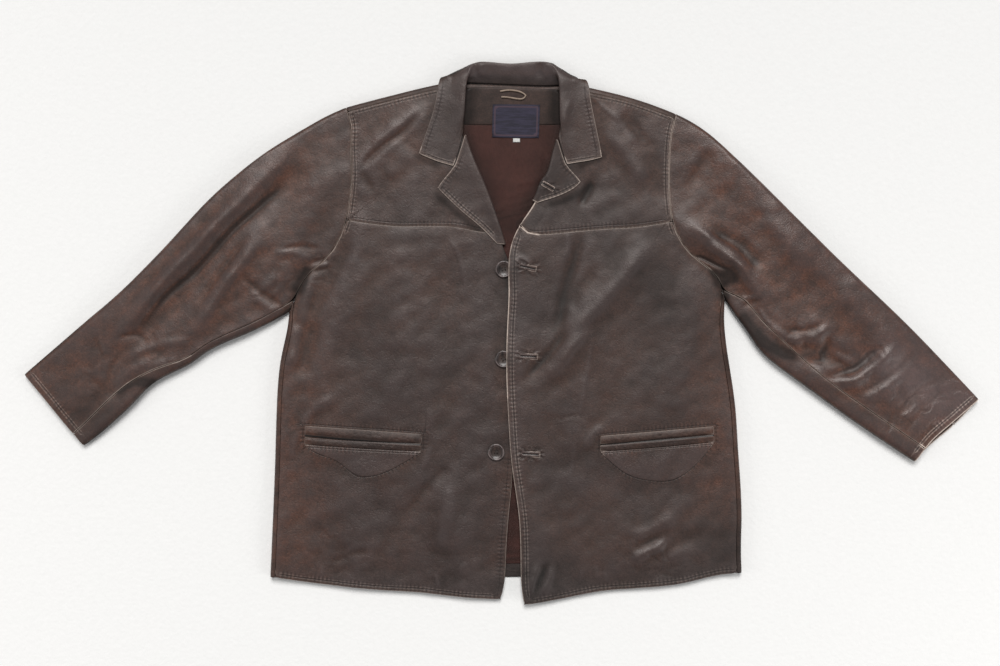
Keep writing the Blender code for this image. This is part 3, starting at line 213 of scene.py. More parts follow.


# %% [markdown]
# ## Creases laid one by one
#
# Old leather keeps the folds it was packed and worn in. The plain pieces already carry the broad ones. Here
# are the narrower creases between them: the line each follows, how wide it is and how high, with troughs
# below zero. They could come from a cloth simulation, but this coat has its own creases, and drawn lines
# put each one in its place.

# %% The creases
CREASES = [
    # left sleeve, from the shoulder to the cuff
    ([(-0.355, 0.222), (-0.392, 0.190), (-0.433, 0.153), (-0.461, 0.121), (-0.496, 0.087), (-0.524, 0.050),
      (-0.547, 0.015)], 0.009, 0.0015),
    ([(-0.332, 0.213), (-0.369, 0.182), (-0.404, 0.150), (-0.433, 0.118), (-0.461, 0.087), (-0.490, 0.064),
      (-0.513, 0.041), (-0.536, 0.012)], 0.005, -0.0020),
    ([(-0.381, 0.139), (-0.407, 0.107), (-0.433, 0.073), (-0.450, 0.047)], 0.005, -0.0012),
    ([(-0.364, 0.133), (-0.389, 0.101), (-0.418, 0.064), (-0.441, 0.027), (-0.455, 0.007)], 0.006, 0.0010),
    ([(-0.387, 0.081), (-0.364, 0.061), (-0.326, 0.034)], 0.004, -0.0014),
    ([(-0.369, 0.050), (-0.338, 0.027)], 0.005, 0.0008),
    ([(-0.326, 0.124), (-0.301, 0.127), (-0.275, 0.123)], 0.003, -0.0010),
    ([(-0.338, 0.118), (-0.306, 0.116), (-0.286, 0.104)], 0.004, 0.0008),
    ([(-0.570, -0.008), (-0.547, -0.006), (-0.530, -0.016)], 0.0035, -0.0010),
    ([(-0.610, -0.008), (-0.602, -0.025), (-0.596, -0.039)], 0.0035, -0.0009),
    ([(-0.585, -0.065), (-0.565, -0.042), (-0.536, -0.028), (-0.501, -0.019), (-0.467, -0.016)],
     0.006, 0.0008),
    ([(-0.590, -0.080), (-0.585, -0.057), (-0.573, -0.039)], 0.004, -0.0008),
    # right sleeve: the flap at the armpit, the elbow and the cuff
    ([(0.305, 0.132), (0.331, 0.114), (0.358, 0.093), (0.368, 0.072)], 0.005, 0.0015),
    ([(0.313, 0.153), (0.331, 0.140), (0.358, 0.127), (0.386, 0.093)], 0.008, -0.0015),
    ([(0.291, 0.156), (0.316, 0.137), (0.338, 0.121), (0.359, 0.101), (0.373, 0.085)], 0.006, 0.0012),
    ([(0.286, 0.112), (0.299, 0.110), (0.319, 0.100), (0.340, 0.091)], 0.003, -0.0015),
    ([(0.289, 0.107), (0.310, 0.099), (0.327, 0.088)], 0.003, 0.0008),
    ([(0.358, 0.048), (0.376, 0.051), (0.384, 0.056)], 0.003, 0.0008),
    ([(0.360, 0.037), (0.376, 0.043), (0.389, 0.048)], 0.003, -0.0008),
    ([(0.384, 0.035), (0.392, 0.019), (0.402, 0.008)], 0.004, 0.0008),
    ([(0.410, 0.001), (0.434, -0.013), (0.465, -0.010), (0.481, 0.001), (0.492, 0.006)], 0.006, 0.0016),
    ([(0.421, 0.003), (0.444, 0.001), (0.465, 0.005), (0.481, 0.011)], 0.003, -0.0010),
    ([(0.455, -0.042), (0.476, -0.044), (0.479, -0.034), (0.486, -0.018), (0.481, -0.007)], 0.005, -0.0014),
    ([(0.497, -0.034), (0.515, -0.044), (0.526, -0.049)], 0.005, 0.0012),
    ([(0.481, -0.068), (0.508, -0.063), (0.529, -0.055), (0.550, -0.036), (0.571, -0.023)], 0.005, -0.0018),
    ([(0.502, -0.078), (0.526, -0.073), (0.547, -0.060), (0.571, -0.039), (0.586, -0.026)], 0.006, 0.0018),
    ([(0.529, -0.094), (0.550, -0.084), (0.576, -0.070), (0.600, -0.047), (0.610, -0.028)], 0.006, -0.0012),
    ([(0.550, -0.097), (0.576, -0.081), (0.600, -0.070)], 0.006, 0.0008),
    ([(0.592, -0.120), (0.608, -0.102), (0.629, -0.084), (0.650, -0.076)], 0.003, -0.0010),
    ([(0.597, -0.131), (0.613, -0.120), (0.623, -0.110)], 0.004, 0.0012),
    ([(0.608, -0.147), (0.626, -0.120), (0.647, -0.099), (0.665, -0.089)], 0.003, -0.0012),
    ([(0.613, -0.142), (0.623, -0.123), (0.639, -0.110)], 0.003, 0.0008),
    ([(0.576, -0.152), (0.581, -0.136), (0.584, -0.118)], 0.003, -0.0008),
    ([(0.660, -0.084), (0.679, -0.078), (0.692, -0.076)], 0.004, 0.0006),
    ([(0.316, 0.273), (0.297, 0.243), (0.283, 0.221), (0.278, 0.205)], 0.008, -0.0010),
    # left yoke and left front
    ([(-0.109, 0.336), (-0.136, 0.317), (-0.165, 0.300), (-0.185, 0.283), (-0.204, 0.263)], 0.009, 0.0012),
    ([(-0.121, 0.329), (-0.146, 0.302), (-0.175, 0.280), (-0.199, 0.258), (-0.209, 0.244)], 0.005, -0.0016),
    ([(-0.136, 0.275), (-0.156, 0.253), (-0.175, 0.234)], 0.012, 0.0008),
    ([(-0.212, 0.239), (-0.199, 0.219), (-0.195, 0.205)], 0.005, -0.0006),
    ([(-0.080, 0.139), (-0.065, 0.114), (-0.058, 0.083), (-0.053, 0.053)], 0.0025, 0.0005),
    ([(-0.229, 0.146), (-0.236, 0.122), (-0.248, 0.097), (-0.258, 0.075), (-0.273, 0.049), (-0.280, 0.024)],
     0.010, -0.0015),
    ([(-0.285, 0.090), (-0.292, 0.061), (-0.297, 0.036), (-0.299, 0.010)], 0.007, 0.0015),
    ([(-0.285, 0.102), (-0.273, 0.106), (-0.260, 0.107)], 0.0025, -0.0010),
    ([(-0.285, 0.096), (-0.260, 0.100)], 0.0025, 0.0009),
    ([(-0.285, 0.089), (-0.260, 0.094)], 0.0025, -0.0008),
    ([(-0.280, 0.017), (-0.285, -0.016), (-0.293, -0.042), (-0.301, -0.072)], 0.010, -0.0012),
    ([(-0.307, 0.011), (-0.309, -0.010), (-0.312, -0.037), (-0.320, -0.053)], 0.007, 0.0012),
    ([(-0.251, -0.099), (-0.275, -0.112), (-0.291, -0.128), (-0.299, -0.150)], 0.006, 0.0008),
    ([(-0.304, -0.150), (-0.312, -0.171), (-0.315, -0.192)], 0.005, 0.0006),
    ([(-0.106, -0.171), (-0.111, -0.187), (-0.122, -0.211)], 0.004, 0.0006),
    ([(-0.074, -0.225), (-0.079, -0.251), (-0.082, -0.278), (-0.090, -0.305), (-0.092, -0.326)],
     0.008, 0.0010),
    ([(-0.122, -0.241), (-0.095, -0.217), (-0.079, -0.203)], 0.005, -0.0006),
    ([(-0.143, -0.273), (-0.122, -0.249), (-0.103, -0.233)], 0.005, -0.0005),
    ([(-0.269, -0.353), (-0.271, -0.369)], 0.0025, 0.0008),
    ([(-0.229, -0.332), (-0.256, -0.340)], 0.004, 0.0007),
    ([(-0.099, -0.364), (-0.095, -0.385)], 0.0025, 0.0010),
    ([(-0.197, -0.329), (-0.229, -0.334), (-0.261, -0.342)], 0.005, -0.0008),
    # right yoke, collar leaf and right front
    ([(0.136, 0.224), (0.128, 0.208), (0.117, 0.189)], 0.005, -0.0016),
    ([(0.177, 0.325), (0.201, 0.301), (0.215, 0.281)], 0.007, -0.0010),
    ([(0.160, 0.295), (0.182, 0.268), (0.199, 0.243), (0.209, 0.221)], 0.008, 0.0009),
    ([(0.130, 0.358), (0.155, 0.333), (0.177, 0.314)], 0.0025, 0.0008),
    ([(0.103, 0.344), (0.095, 0.325), (0.092, 0.306)], 0.005, 0.0008),
    ([(0.119, 0.145), (0.114, 0.123), (0.106, 0.099), (0.098, 0.074), (0.091, 0.047), (0.087, 0.020),
      (0.081, -0.001)], 0.007, -0.0016),
    ([(0.098, 0.148), (0.100, 0.123), (0.095, 0.107)], 0.004, 0.0008),
    ([(0.209, 0.118), (0.196, 0.099), (0.177, 0.074), (0.155, 0.047), (0.128, 0.022), (0.106, 0.003)],
     0.009, 0.0012),
    ([(0.139, 0.088), (0.117, 0.063), (0.100, 0.033)], 0.008, -0.0008),
    ([(0.019, 0.099), (0.029, 0.110), (0.043, 0.101)], 0.003, 0.0008),
    ([(0.130, -0.005), (0.109, -0.018), (0.094, -0.039), (0.081, -0.055), (0.065, -0.065)], 0.008, 0.0014),
    ([(0.094, 0.003), (0.083, -0.018), (0.070, -0.034), (0.052, -0.052), (0.036, -0.070)], 0.006, -0.0016),
    ([(0.136, -0.002), (0.132, -0.036), (0.125, -0.076), (0.119, -0.110), (0.113, -0.139)], 0.0025, 0.0006),
    ([(0.109, -0.168), (0.105, -0.199), (0.102, -0.238)], 0.003, 0.0005),
    ([(0.151, -0.141), (0.138, -0.154), (0.128, -0.168), (0.120, -0.173)], 0.006, 0.0010),
    ([(0.261, -0.280), (0.240, -0.291), (0.220, -0.299), (0.193, -0.309)], 0.008, 0.0012),
    ([(0.246, -0.317), (0.227, -0.327), (0.209, -0.335), (0.193, -0.348)], 0.006, 0.0016),
    ([(0.240, -0.307), (0.220, -0.317), (0.199, -0.327)], 0.005, -0.0010),
    ([(0.298, -0.299), (0.267, -0.317), (0.240, -0.333), (0.220, -0.351)], 0.008, -0.0012),
    ([(0.054, -0.352), (0.046, -0.375), (0.041, -0.395)], 0.0046, 0.0016),
    ([(0.076, -0.354), (0.068, -0.377), (0.060, -0.397)], 0.0046, 0.0013),
    ([(0.066, -0.350), (0.056, -0.375), (0.050, -0.395)], 0.0046, -0.0014),
    ([(0.120, -0.359), (0.116, -0.377)], 0.0025, 0.0006),
    ([(0.141, -0.351), (0.143, -0.372)], 0.0025, 0.0006),
    ([(0.154, -0.362), (0.157, -0.377)], 0.0025, 0.0006),
    # stand of the collar
    ([(-0.050, 0.404), (-0.048, 0.390), (-0.045, 0.376)], 0.004, 0.0012),
    ([(-0.040, 0.404), (-0.038, 0.390), (-0.036, 0.376)], 0.003, -0.0010),
    ([(-0.030, 0.403), (-0.029, 0.390), (-0.026, 0.376)], 0.005, 0.0012),
    ([(0.058, 0.403), (0.056, 0.390), (0.055, 0.377)], 0.005, -0.0010),
    ([(0.068, 0.401), (0.067, 0.388), (0.066, 0.376)], 0.004, 0.0010),
]
print("creases:", len(CREASES))


# %% [markdown]
# ## One map of heights for the whole upper side
#
# The creases and a little unevenness are added up once, on a grid over the floor. Every piece of the upper
# side is lifted by the same map, so pockets, lapels and buttons move with the leather they are sewn to, and
# nothing comes apart. The unevenness is made of soft noise with a fixed pattern, so that it is the same
# each time.

# %% The map
MAP_STEP = 0.0020
MAP_LOW = np.array([-0.76, -0.45])
MAP_SIZE = (761, 451)
BROAD = 0.0045  # creases wider than this are deepened and widened most
DEEPER = 1.7
WIDER = 1.25
SMALL_DEEPER = 1.25
UNEVEN = [(0.090, 0.0012, 0.0, 1.0), (0.034, 0.0007, 0.6, 1.6), (0.016, 0.00035, -0.5, 1.0)]


def uneven(place, scale, lift, turn, stretch):
    """Soft noise in the range of plus or minus the lift, drawn out along one direction."""
    x = place[0] * math.cos(turn) + place[1] * math.sin(turn)
    y = place[1] * math.cos(turn) - place[0] * math.sin(turn)
    return lift * noise.noise(Vector((x / scale, y / scale * stretch, lift * 1000)))


def height_map():
    """Height of the creases and the unevenness over each point of the grid."""
    columns = MAP_LOW[0] + MAP_STEP * np.arange(MAP_SIZE[0])
    rows = MAP_LOW[1] + MAP_STEP * np.arange(MAP_SIZE[1])
    places = np.stack(np.meshgrid(columns, rows), axis=-1).reshape(-1, 2)
    heights = np.array([sum(uneven(place, *band) for band in UNEVEN) for place in places])
    for points, width, height in CREASES:
        height *= DEEPER if width > BROAD else SMALL_DEEPER
        width *= WIDER if width > BROAD else 1.0
        line = smooth_line(points)
        near = np.all((places > line.min(0) - 3 * width) & (places < line.max(0) + 3 * width), axis=1)
        gap, along = distance_to(places[near], line)
        length = np.linalg.norm(np.diff(line, axis=0), axis=1).sum()
        start = soft_step(along, -0.10 * length, 0.22 * length)
        end = soft_step(along, 1.10 * length, 0.78 * length)
        heights[near] += height * hump(gap, width) * (start * end)
    return heights.reshape(MAP_SIZE[1], MAP_SIZE[0])


HEIGHTS = height_map()


def read_between(grid, spots):
    """Value of a grid at spots given in its own steps, mixed from the four points round each."""
    cell = np.clip(np.floor(spots).astype(int), 0, np.array(grid.shape[::-1]) - 2)
    share = spots - cell
    column, row = cell[:, 0], cell[:, 1]
    low = grid[row, column] * (1 - share[:, 0]) + grid[row, column + 1] * share[:, 0]
    high = grid[row + 1, column] * (1 - share[:, 0]) + grid[row + 1, column + 1] * share[:, 0]
    return low * (1 - share[:, 1]) + high * share[:, 1]


def lift_at(places):
    return read_between(HEIGHTS, (places - MAP_LOW) / MAP_STEP)


print("map from", round(1000 * HEIGHTS.min(), 1), "to", round(1000 * HEIGHTS.max(), 1), "mm")


# %% [markdown]
# ## Seams, worn lines and rows of stitches
#
# Leather wears first where it is thick and stands up: along the front edges, the lapels, the seams and the
# pocket mouths. Each of these is written down once as a line on the floor. One list says which lines have
# gone pale and how much, the other where a sewing machine ran beside them. The finish and the stitches both
# read them.

# %% Lines of the cut
LEFT_FRONT_EDGE = smooth_line([
    (-0.0020, -0.4030), (0.0036, -0.3825), (0.0066, -0.3250), (0.0095, -0.2830), (0.0140, -0.2400),
    (0.0178, -0.1800), (0.0185, -0.0800)])
RIGHT_FRONT_EDGE = smooth_line([
    (0.0330, -0.4110), (0.0285, -0.3820), (0.0276, -0.3250), (0.0255, -0.2790), (0.0189, -0.2325),
    (0.0132, -0.1905), (0.0095, -0.1335), (0.0065, -0.0735), (0.0065, -0.0210), (0.0080, 0.0165),
    (0.0100, 0.0510), (0.0093, 0.0840), (0.0105, 0.1180), (0.0171, 0.1425), (0.0262, 0.1590)])
RIGHT_BREAK = smooth_line([
    (0.0262, 0.1590), (0.0340, 0.1730), (0.0430, 0.1860), (0.0530, 0.1916)])
LEFT_YOKE_SEAM = smooth_line([
    (-0.2340, 0.1665), (-0.1650, 0.1578), (-0.0738, 0.1569), (-0.0308, 0.1485), (-0.0055, 0.1480)])
RIGHT_YOKE_SEAM = smooth_line([
    (0.0262, 0.1590), (0.0340, 0.1500), (0.0495, 0.1449), (0.1000, 0.1485), (0.1500, 0.1530),
    (0.2025, 0.1560), (0.2560, 0.1640)])
LEFT_ARMHOLE = smooth_line([
    (-0.3195, 0.0280), (-0.3130, 0.0450), (-0.3040, 0.0650), (-0.2920, 0.0840), (-0.2760, 0.0985),
    (-0.2600, 0.1110), (-0.2460, 0.1330), (-0.2340, 0.1620), (-0.2295, 0.1856), (-0.2250, 0.2286),
    (-0.2260, 0.2715), (-0.2260, 0.3100), (-0.2340, 0.3360)])
RIGHT_ARMHOLE = smooth_line([
    (0.3345, 0.0465), (0.3305, 0.0660), (0.3215, 0.0835), (0.3050, 0.0980), (0.2880, 0.1105),
    (0.2740, 0.1250), (0.2625, 0.1440), (0.2553, 0.1640), (0.2505, 0.2100), (0.2505, 0.2580),
    (0.2535, 0.2955), (0.2610, 0.3262)])
LEFT_SHOULDER = smooth_line([
    (-0.2340, 0.3360), (-0.1830, 0.3495), (-0.1530, 0.3570), (-0.1230, 0.3645), (-0.0930, 0.3712)])
RIGHT_SHOULDER = smooth_line([
    (0.2610, 0.3262), (0.2370, 0.3360), (0.2070, 0.3465), (0.1770, 0.3555), (0.1470, 0.3615),
    (0.1215, 0.3675)])
LEFT_HEM = smooth_line([
    (-0.3400, -0.3690), (-0.3030, -0.3750), (-0.2430, -0.3825), (-0.1830, -0.3885), (-0.1230, -0.3920),
    (-0.0630, -0.3990), (-0.0020, -0.4030)])
RIGHT_HEM = smooth_line([
    (0.0330, -0.4110), (0.0870, -0.4020), (0.1470, -0.3900), (0.2070, -0.3855), (0.2670, -0.3795),
    (0.2970, -0.3720), (0.3270, -0.3650), (0.3520, -0.3625)])
LEFT_LAPEL_EDGE = smooth_line([(-0.0075, 0.1305), (-0.0308, 0.1545), (-0.0645, 0.1830), (-0.0968, 0.2145)])
LEFT_LAPEL_TOP = smooth_line([
    (-0.0968, 0.2145), (-0.0850, 0.2310), (-0.0718, 0.2455), (-0.0632, 0.2690), (-0.0556, 0.2930)])
RIGHT_LAPEL_EDGE = smooth_line([
    (0.0530, 0.1916), (0.0626, 0.1950), (0.0855, 0.2025), (0.1080, 0.2138), (0.1185, 0.2235)])
RIGHT_LAPEL_TOP = smooth_line([
    (0.1185, 0.2235), (0.1080, 0.2360), (0.0962, 0.2485), (0.0888, 0.2690), (0.0830, 0.2870)])
LEFT_LEAF_EDGE = smooth_line([
    (-0.1245, 0.2655), (-0.1175, 0.2860), (-0.1100, 0.3075), (-0.1035, 0.3263), (-0.0985, 0.3480),
    (-0.0960, 0.3680)])
RIGHT_LEAF_EDGE = smooth_line([
    (0.1498, 0.2600), (0.1465, 0.2790), (0.1420, 0.3000), (0.1370, 0.3240), (0.1320, 0.3480),
    (0.1305, 0.3680)])
LEFT_LEAF_END = smooth_line([(-0.1245, 0.2655), (-0.1000, 0.2552), (-0.0850, 0.2505), (-0.0728, 0.2470)])
RIGHT_LEAF_END = smooth_line([(0.0974, 0.2498), (0.1110, 0.2522), (0.1290, 0.2550), (0.1498, 0.2600)])
LEFT_CUFF = smooth_line([(-0.6264, -0.1722), (-0.6560, -0.1380), (-0.6880, -0.0990), (-0.7170, -0.0645)])
RIGHT_CUFF = smooth_line([(0.6180, -0.1965), (0.6440, -0.1640), (0.6800, -0.1330), (0.7160, -0.1020)])
LEFT_POCKET = smooth_line([
    (-0.1182, -0.1805), (-0.1176, -0.1680), (-0.1180, -0.1535), (-0.1200, -0.1516), (-0.2070, -0.1452),
    (-0.2950, -0.1392), (-0.2978, -0.1420), (-0.2984, -0.1560), (-0.2985, -0.1700)], 4)
RIGHT_POCKET = smooth_line([
    (0.1444, -0.1812), (0.1450, -0.1700), (0.1452, -0.1580), (0.1476, -0.1545), (0.2320, -0.1472),
    (0.3170, -0.1398), (0.3198, -0.1430), (0.3205, -0.1540), (0.3206, -0.1670)], 4)
LEFT_CRESCENT = smooth_line([
    (-0.2925, -0.1745), (-0.2715, -0.1862), (-0.2480, -0.1925), (-0.2195, -0.2170), (-0.1965, -0.2180),
    (-0.1716, -0.2106), (-0.1470, -0.1970), (-0.1250, -0.1840)])
RIGHT_CRESCENT = smooth_line([
    (0.1510, -0.1850), (0.1650, -0.1985), (0.1900, -0.2165), (0.2220, -0.2240), (0.2535, -0.2245),
    (0.2820, -0.2080), (0.3020, -0.1870), (0.3140, -0.1720)])
LEFT_SLEEVE_LOWER = smooth_line([
    (-0.3195, 0.0280), (-0.3360, 0.0180), (-0.3660, 0.0030), (-0.3780, -0.0030), (-0.4155, -0.0180),
    (-0.4500, -0.0360), (-0.4640, -0.0490), (-0.4960, -0.0640), (-0.5255, -0.0800), (-0.5530, -0.1100),
    (-0.5780, -0.1330), (-0.6030, -0.1550), (-0.6264, -0.1722)])
RIGHT_SLEEVE_LOWER = smooth_line([
    (0.3345, 0.0465), (0.3430, 0.0330), (0.3560, 0.0150), (0.3675, 0.0000), (0.3780, -0.0180),
    (0.3915, -0.0360), (0.4140, -0.0540), (0.4635, -0.0900), (0.5130, -0.1260), (0.5655, -0.1620),
    (0.6180, -0.1965)])
LEFT_MOUTH = smooth_line([(-0.2990, -0.1560), (-0.2085, -0.1640), (-0.1180, -0.1705)])
RIGHT_MOUTH = smooth_line([(0.1448, -0.1705), (0.2320, -0.1638), (0.3205, -0.1560)])
LEFT_UNDER_WELT = smooth_line([(-0.2930, -0.1722), (-0.2085, -0.1780), (-0.1240, -0.1822)])
RIGHT_UNDER_WELT = smooth_line([(0.1510, -0.1815), (0.2320, -0.1752), (0.3130, -0.1680)])
NECK_LEFT = smooth_line([
    (-0.0055, 0.1480), (-0.0265, 0.2080), (-0.0490, 0.2620), (-0.0618, 0.3120), (-0.0560, 0.3735)])
NECK_RIGHT = smooth_line([
    (0.0262, 0.1590), (0.0562, 0.2060), (0.0758, 0.2430), (0.0888, 0.2900), (0.0894, 0.3650)])
BUTTONHOLES = {  # centre in metres and turn in degrees
    "buttonhole_1": ((0.0385, 0.0950), -12.0), "buttonhole_2": ((0.0395, -0.0380), -3.0),
    "buttonhole_3": ((0.0428, -0.1845), -3.0), "buttonhole_lapel": ((0.0690, 0.2165), -29.0),
}


def seam_behind(lower, depths):
    """The sleeve's seam: some way in from its lower edge, by depths at even steps from armhole to cuff."""
    shares = np.linspace(0, 1, len(lower))
    gaps = np.interp(shares, np.linspace(0, 1, len(depths)), depths)
    run = np.gradient(lower, axis=0)
    run /= np.linalg.norm(run, axis=1)[:, None]
    return lower + gaps[:, None] * np.stack([-run[:, 1], run[:, 0]], axis=1)


LEFT_SLEEVE_SEAM = seam_behind(
    LEFT_SLEEVE_LOWER, [-0.0190, -0.0150, -0.0130, -0.0125, -0.0130, -0.0190, -0.0330, -0.0300, -0.0240])
RIGHT_SLEEVE_SEAM = seam_behind(
    RIGHT_SLEEVE_LOWER, [0.0150, 0.0260, 0.0290, 0.0290, 0.0290, 0.0280, 0.0270, 0.0260, 0.0255])
print("front edge from hem to lapel in mm:",
      round(1000 * np.linalg.norm(np.diff(RIGHT_FRONT_EDGE, axis=0), axis=1).sum()))


# %% [markdown]
# ## What has gone pale
#
# Each worn line belongs to the pieces that meet at it, so that a row of pale leather never shows on the
# piece that lies under another. The last number is how far the dye has gone, from zero to one. The right
# front edge and the right cuff have worn most, the shoulders least.

# %% Worn lines
BODY_LEFT = ("front_left", "yoke_left")
BODY_RIGHT = ("front_right", "yoke_right")
SLEEVE_LEFT = ("sleeve_left_upper", "sleeve_left_under")
SLEEVE_RIGHT = ("sleeve_right_upper", "sleeve_right_under")
WELTS_LEFT = ("pocket_left_welt_upper", "pocket_left_welt_lower", "pocket_left_crescent")
WELTS_RIGHT = ("pocket_right_welt_upper", "pocket_right_welt_lower", "pocket_right_crescent")
WORN_LINES = [
    (BODY_RIGHT, part_of(RIGHT_FRONT_EDGE, 0.0, 0.56), 0.62),
    (BODY_RIGHT, part_of(RIGHT_FRONT_EDGE, 0.56, 1.0), 1.0),
    (BODY_RIGHT + ("lapel_right",), RIGHT_BREAK, 1.0),
    (("lapel_right",), RIGHT_LAPEL_EDGE, 1.0),
    (("lapel_right",), RIGHT_LAPEL_TOP, 0.7),
    (BODY_LEFT, LEFT_FRONT_EDGE, 0.45),
    (("lapel_left",), LEFT_LAPEL_EDGE, 0.62),
    (("lapel_left",), LEFT_LAPEL_TOP, 0.6),
    (("collar",), LEFT_LEAF_EDGE, 0.40),
    (("collar",), RIGHT_LEAF_EDGE, 0.55),
    (("collar",), LEFT_LEAF_END, 0.80),
    (("collar",), RIGHT_LEAF_END, 0.85),
    (BODY_LEFT, LEFT_YOKE_SEAM, 0.42),
    (BODY_RIGHT, RIGHT_YOKE_SEAM, 0.48),
    (BODY_RIGHT, part_of(RIGHT_YOKE_SEAM, 0.0, 0.10), 0.85),
    (BODY_LEFT + SLEEVE_LEFT, LEFT_ARMHOLE, 0.48),
    (BODY_RIGHT + SLEEVE_RIGHT, RIGHT_ARMHOLE, 0.58),
    (BODY_LEFT + ("back",), LEFT_SHOULDER, 0.34),
    (BODY_RIGHT + ("back",), RIGHT_SHOULDER, 0.34),
    (BODY_LEFT, LEFT_HEM, 0.50),
    (BODY_RIGHT, RIGHT_HEM, 0.45),
    (SLEEVE_LEFT, LEFT_CUFF, 0.45),
    (SLEEVE_RIGHT, RIGHT_CUFF, 1.0),
    (SLEEVE_RIGHT, RIGHT_SLEEVE_SEAM, 0.45),
    (SLEEVE_LEFT, part_of(LEFT_SLEEVE_SEAM, 0.0, 0.45), 0.30),
    (SLEEVE_LEFT, part_of(LEFT_SLEEVE_SEAM, 0.45, 1.0), 0.55),
    (WELTS_LEFT, LEFT_POCKET, 0.42),
    (WELTS_RIGHT, RIGHT_POCKET, 0.48),
    (tuple(BUTTONHOLES), beside(RIGHT_FRONT_EDGE, -0.040), 0.50),
    (("buttonhole_lapel",), beside(RIGHT_LAPEL_EDGE, 0.018), 0.60),
]
print("worn lines:", len(WORN_LINES))


# %% [markdown]
# ## Rows of stitches
#
# A machine ran beside most edges and seams, at a presser foot's distance. Each row is the line of its edge
# moved sideways, and it starts and ends a little inside. Where the leather stands up on both sides of a
# row, it has worn into two pale lines, and the second list says how strongly.

# %% Rows of stitches
ROWS = {
    "right_front_edge": (BODY_RIGHT, beside(part_of(RIGHT_FRONT_EDGE, 0.012, 0.97), -0.0090)),
    "left_front_edge": (BODY_LEFT, beside(part_of(LEFT_FRONT_EDGE, 0.02, 0.66), 0.0080)),
    "left_yoke_seam": (BODY_LEFT, beside(part_of(LEFT_YOKE_SEAM, 0.02, 0.90), 0.0050)),
    "right_yoke_seam": (BODY_RIGHT, beside(part_of(RIGHT_YOKE_SEAM, 0.06, 0.98), 0.0050)),
    "left_armhole": (BODY_LEFT, beside(part_of(LEFT_ARMHOLE, 0.44, 0.975), -0.0050)),
    "right_armhole": (BODY_RIGHT, beside(part_of(RIGHT_ARMHOLE, 0.42, 0.97), 0.0050)),
    "left_shoulder": (BODY_LEFT, beside(part_of(LEFT_SHOULDER, 0.05, 1.0), -0.0125)),
    "right_shoulder": (BODY_RIGHT, beside(part_of(RIGHT_SHOULDER, 0.05, 1.0), 0.0125)),
    "left_hem": (BODY_LEFT, beside(part_of(LEFT_HEM, 0.02, 0.975), 0.0060)),
    "right_hem": (BODY_RIGHT, beside(part_of(RIGHT_HEM, 0.03, 0.98), 0.0060)),
    "left_lapel": (("lapel_left",), beside(part_of(LEFT_LAPEL_EDGE, 0.12, 0.97), -0.0060)),
    "right_lapel": (("lapel_right",), beside(part_of(RIGHT_LAPEL_EDGE, 0.10, 0.97), 0.0045)),
    "left_lapel_top": (("lapel_left",), beside(part_of(LEFT_LAPEL_TOP, 0.05, 0.60), -0.0050)),
    "right_lapel_top": (("lapel_right",), beside(part_of(RIGHT_LAPEL_TOP, 0.05, 0.60), 0.0045)),
    "left_leaf": (("collar",), beside(part_of(LEFT_LEAF_EDGE, 0.05, 0.98), -0.0070)),
    "right_leaf": (("collar",), beside(part_of(RIGHT_LEAF_EDGE, 0.05, 0.98), 0.0070)),
    "left_leaf_end": (("collar",), beside(part_of(LEFT_LEAF_END, 0.10, 0.97), 0.0040)),
    "right_leaf_end": (("collar",), beside(part_of(RIGHT_LEAF_END, 0.03, 0.90), 0.0040)),
    "left_cuff": (SLEEVE_LEFT, beside(part_of(LEFT_CUFF, 0.12, 0.93), -0.0100)),
    "right_cuff": (SLEEVE_RIGHT, beside(part_of(RIGHT_CUFF, 0.10, 0.93), 0.0100)),
    "left_pocket": (BODY_LEFT, LEFT_POCKET),
    "right_pocket": (BODY_RIGHT, RIGHT_POCKET),
    "left_welt": (("pocket_left_crescent",), beside(LEFT_UNDER_WELT, -0.0016)),
    "right_welt": (("pocket_right_crescent",), beside(RIGHT_UNDER_WELT, -0.0016)),
    "left_crescent": (BODY_LEFT, LEFT_CRESCENT),
    "right_crescent": (BODY_RIGHT, RIGHT_CRESCENT),
}
DOUBLE_LINES = {
    "right_front_edge": 0.32, "right_armhole": 0.30, "left_armhole": 0.28, "left_lapel": 0.35,
    "right_lapel": 0.40, "left_shoulder": 0.22, "right_shoulder": 0.22, "right_cuff": 0.75, "left_cuff": 0.45,
    "left_hem": 0.18, "right_hem": 0.18, "left_leaf_end": 0.45, "right_leaf_end": 0.45,
}
print("rows of stitches:", len(ROWS), " rows worn on both sides:", len(DOUBLE_LINES))


# %% [markdown]
# ## Dressing a cut piece
#
# A cut piece of leather has a soft turned edge and a skin that follows every crease. The plain wall is
# copied, its loose triangles are joined into quads, and its sharp borders get a light crease, so that
# subdivision rounds them as a turned edge is round. Then the map lifts it. Sculpting would work too, but a
# map is quick to change and keeps neighbours together. Near the floor the lift fades out, because leather
# that rests on something lies flat.

# %% Merge, join and subdivide
SHARP = math.radians(50)
SAME_PLACE = 1e-5
BORDER_STEP = 0.0012
ROUNDING = 0.32
SOFT_CORNERS_ABOVE = 0.350  # past the shoulders the collar bends round and has no corner


def clean_copy(node):
    """The node's wall as joined quads, with creases on its border."""
    wall = bmesh.new()
    wall.from_mesh(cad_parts[node].data)
    bmesh.ops.remove_doubles(wall, verts=wall.verts, dist=SAME_PLACE)
    bmesh.ops.join_triangles(wall, faces=wall.faces, angle_face_threshold=math.radians(60),
                             angle_shape_threshold=math.pi)
    edge_crease = wall.edges.layers.float.new("crease_edge")
    corner_crease = wall.verts.layers.float.new("crease_vert")
    for edge in wall.edges:
        if edge.is_manifold and edge.calc_face_angle() > SHARP:
            edge[edge_crease] = ROUNDING
    for vert in wall.verts:
        if sum(edge[edge_crease] > 0 for edge in vert.link_edges) > 2:
            vert[corner_crease] = 0.0 if node == "collar" and vert.co.y > SOFT_CORNERS_ABOVE else 1.0
    return wall, edge_crease


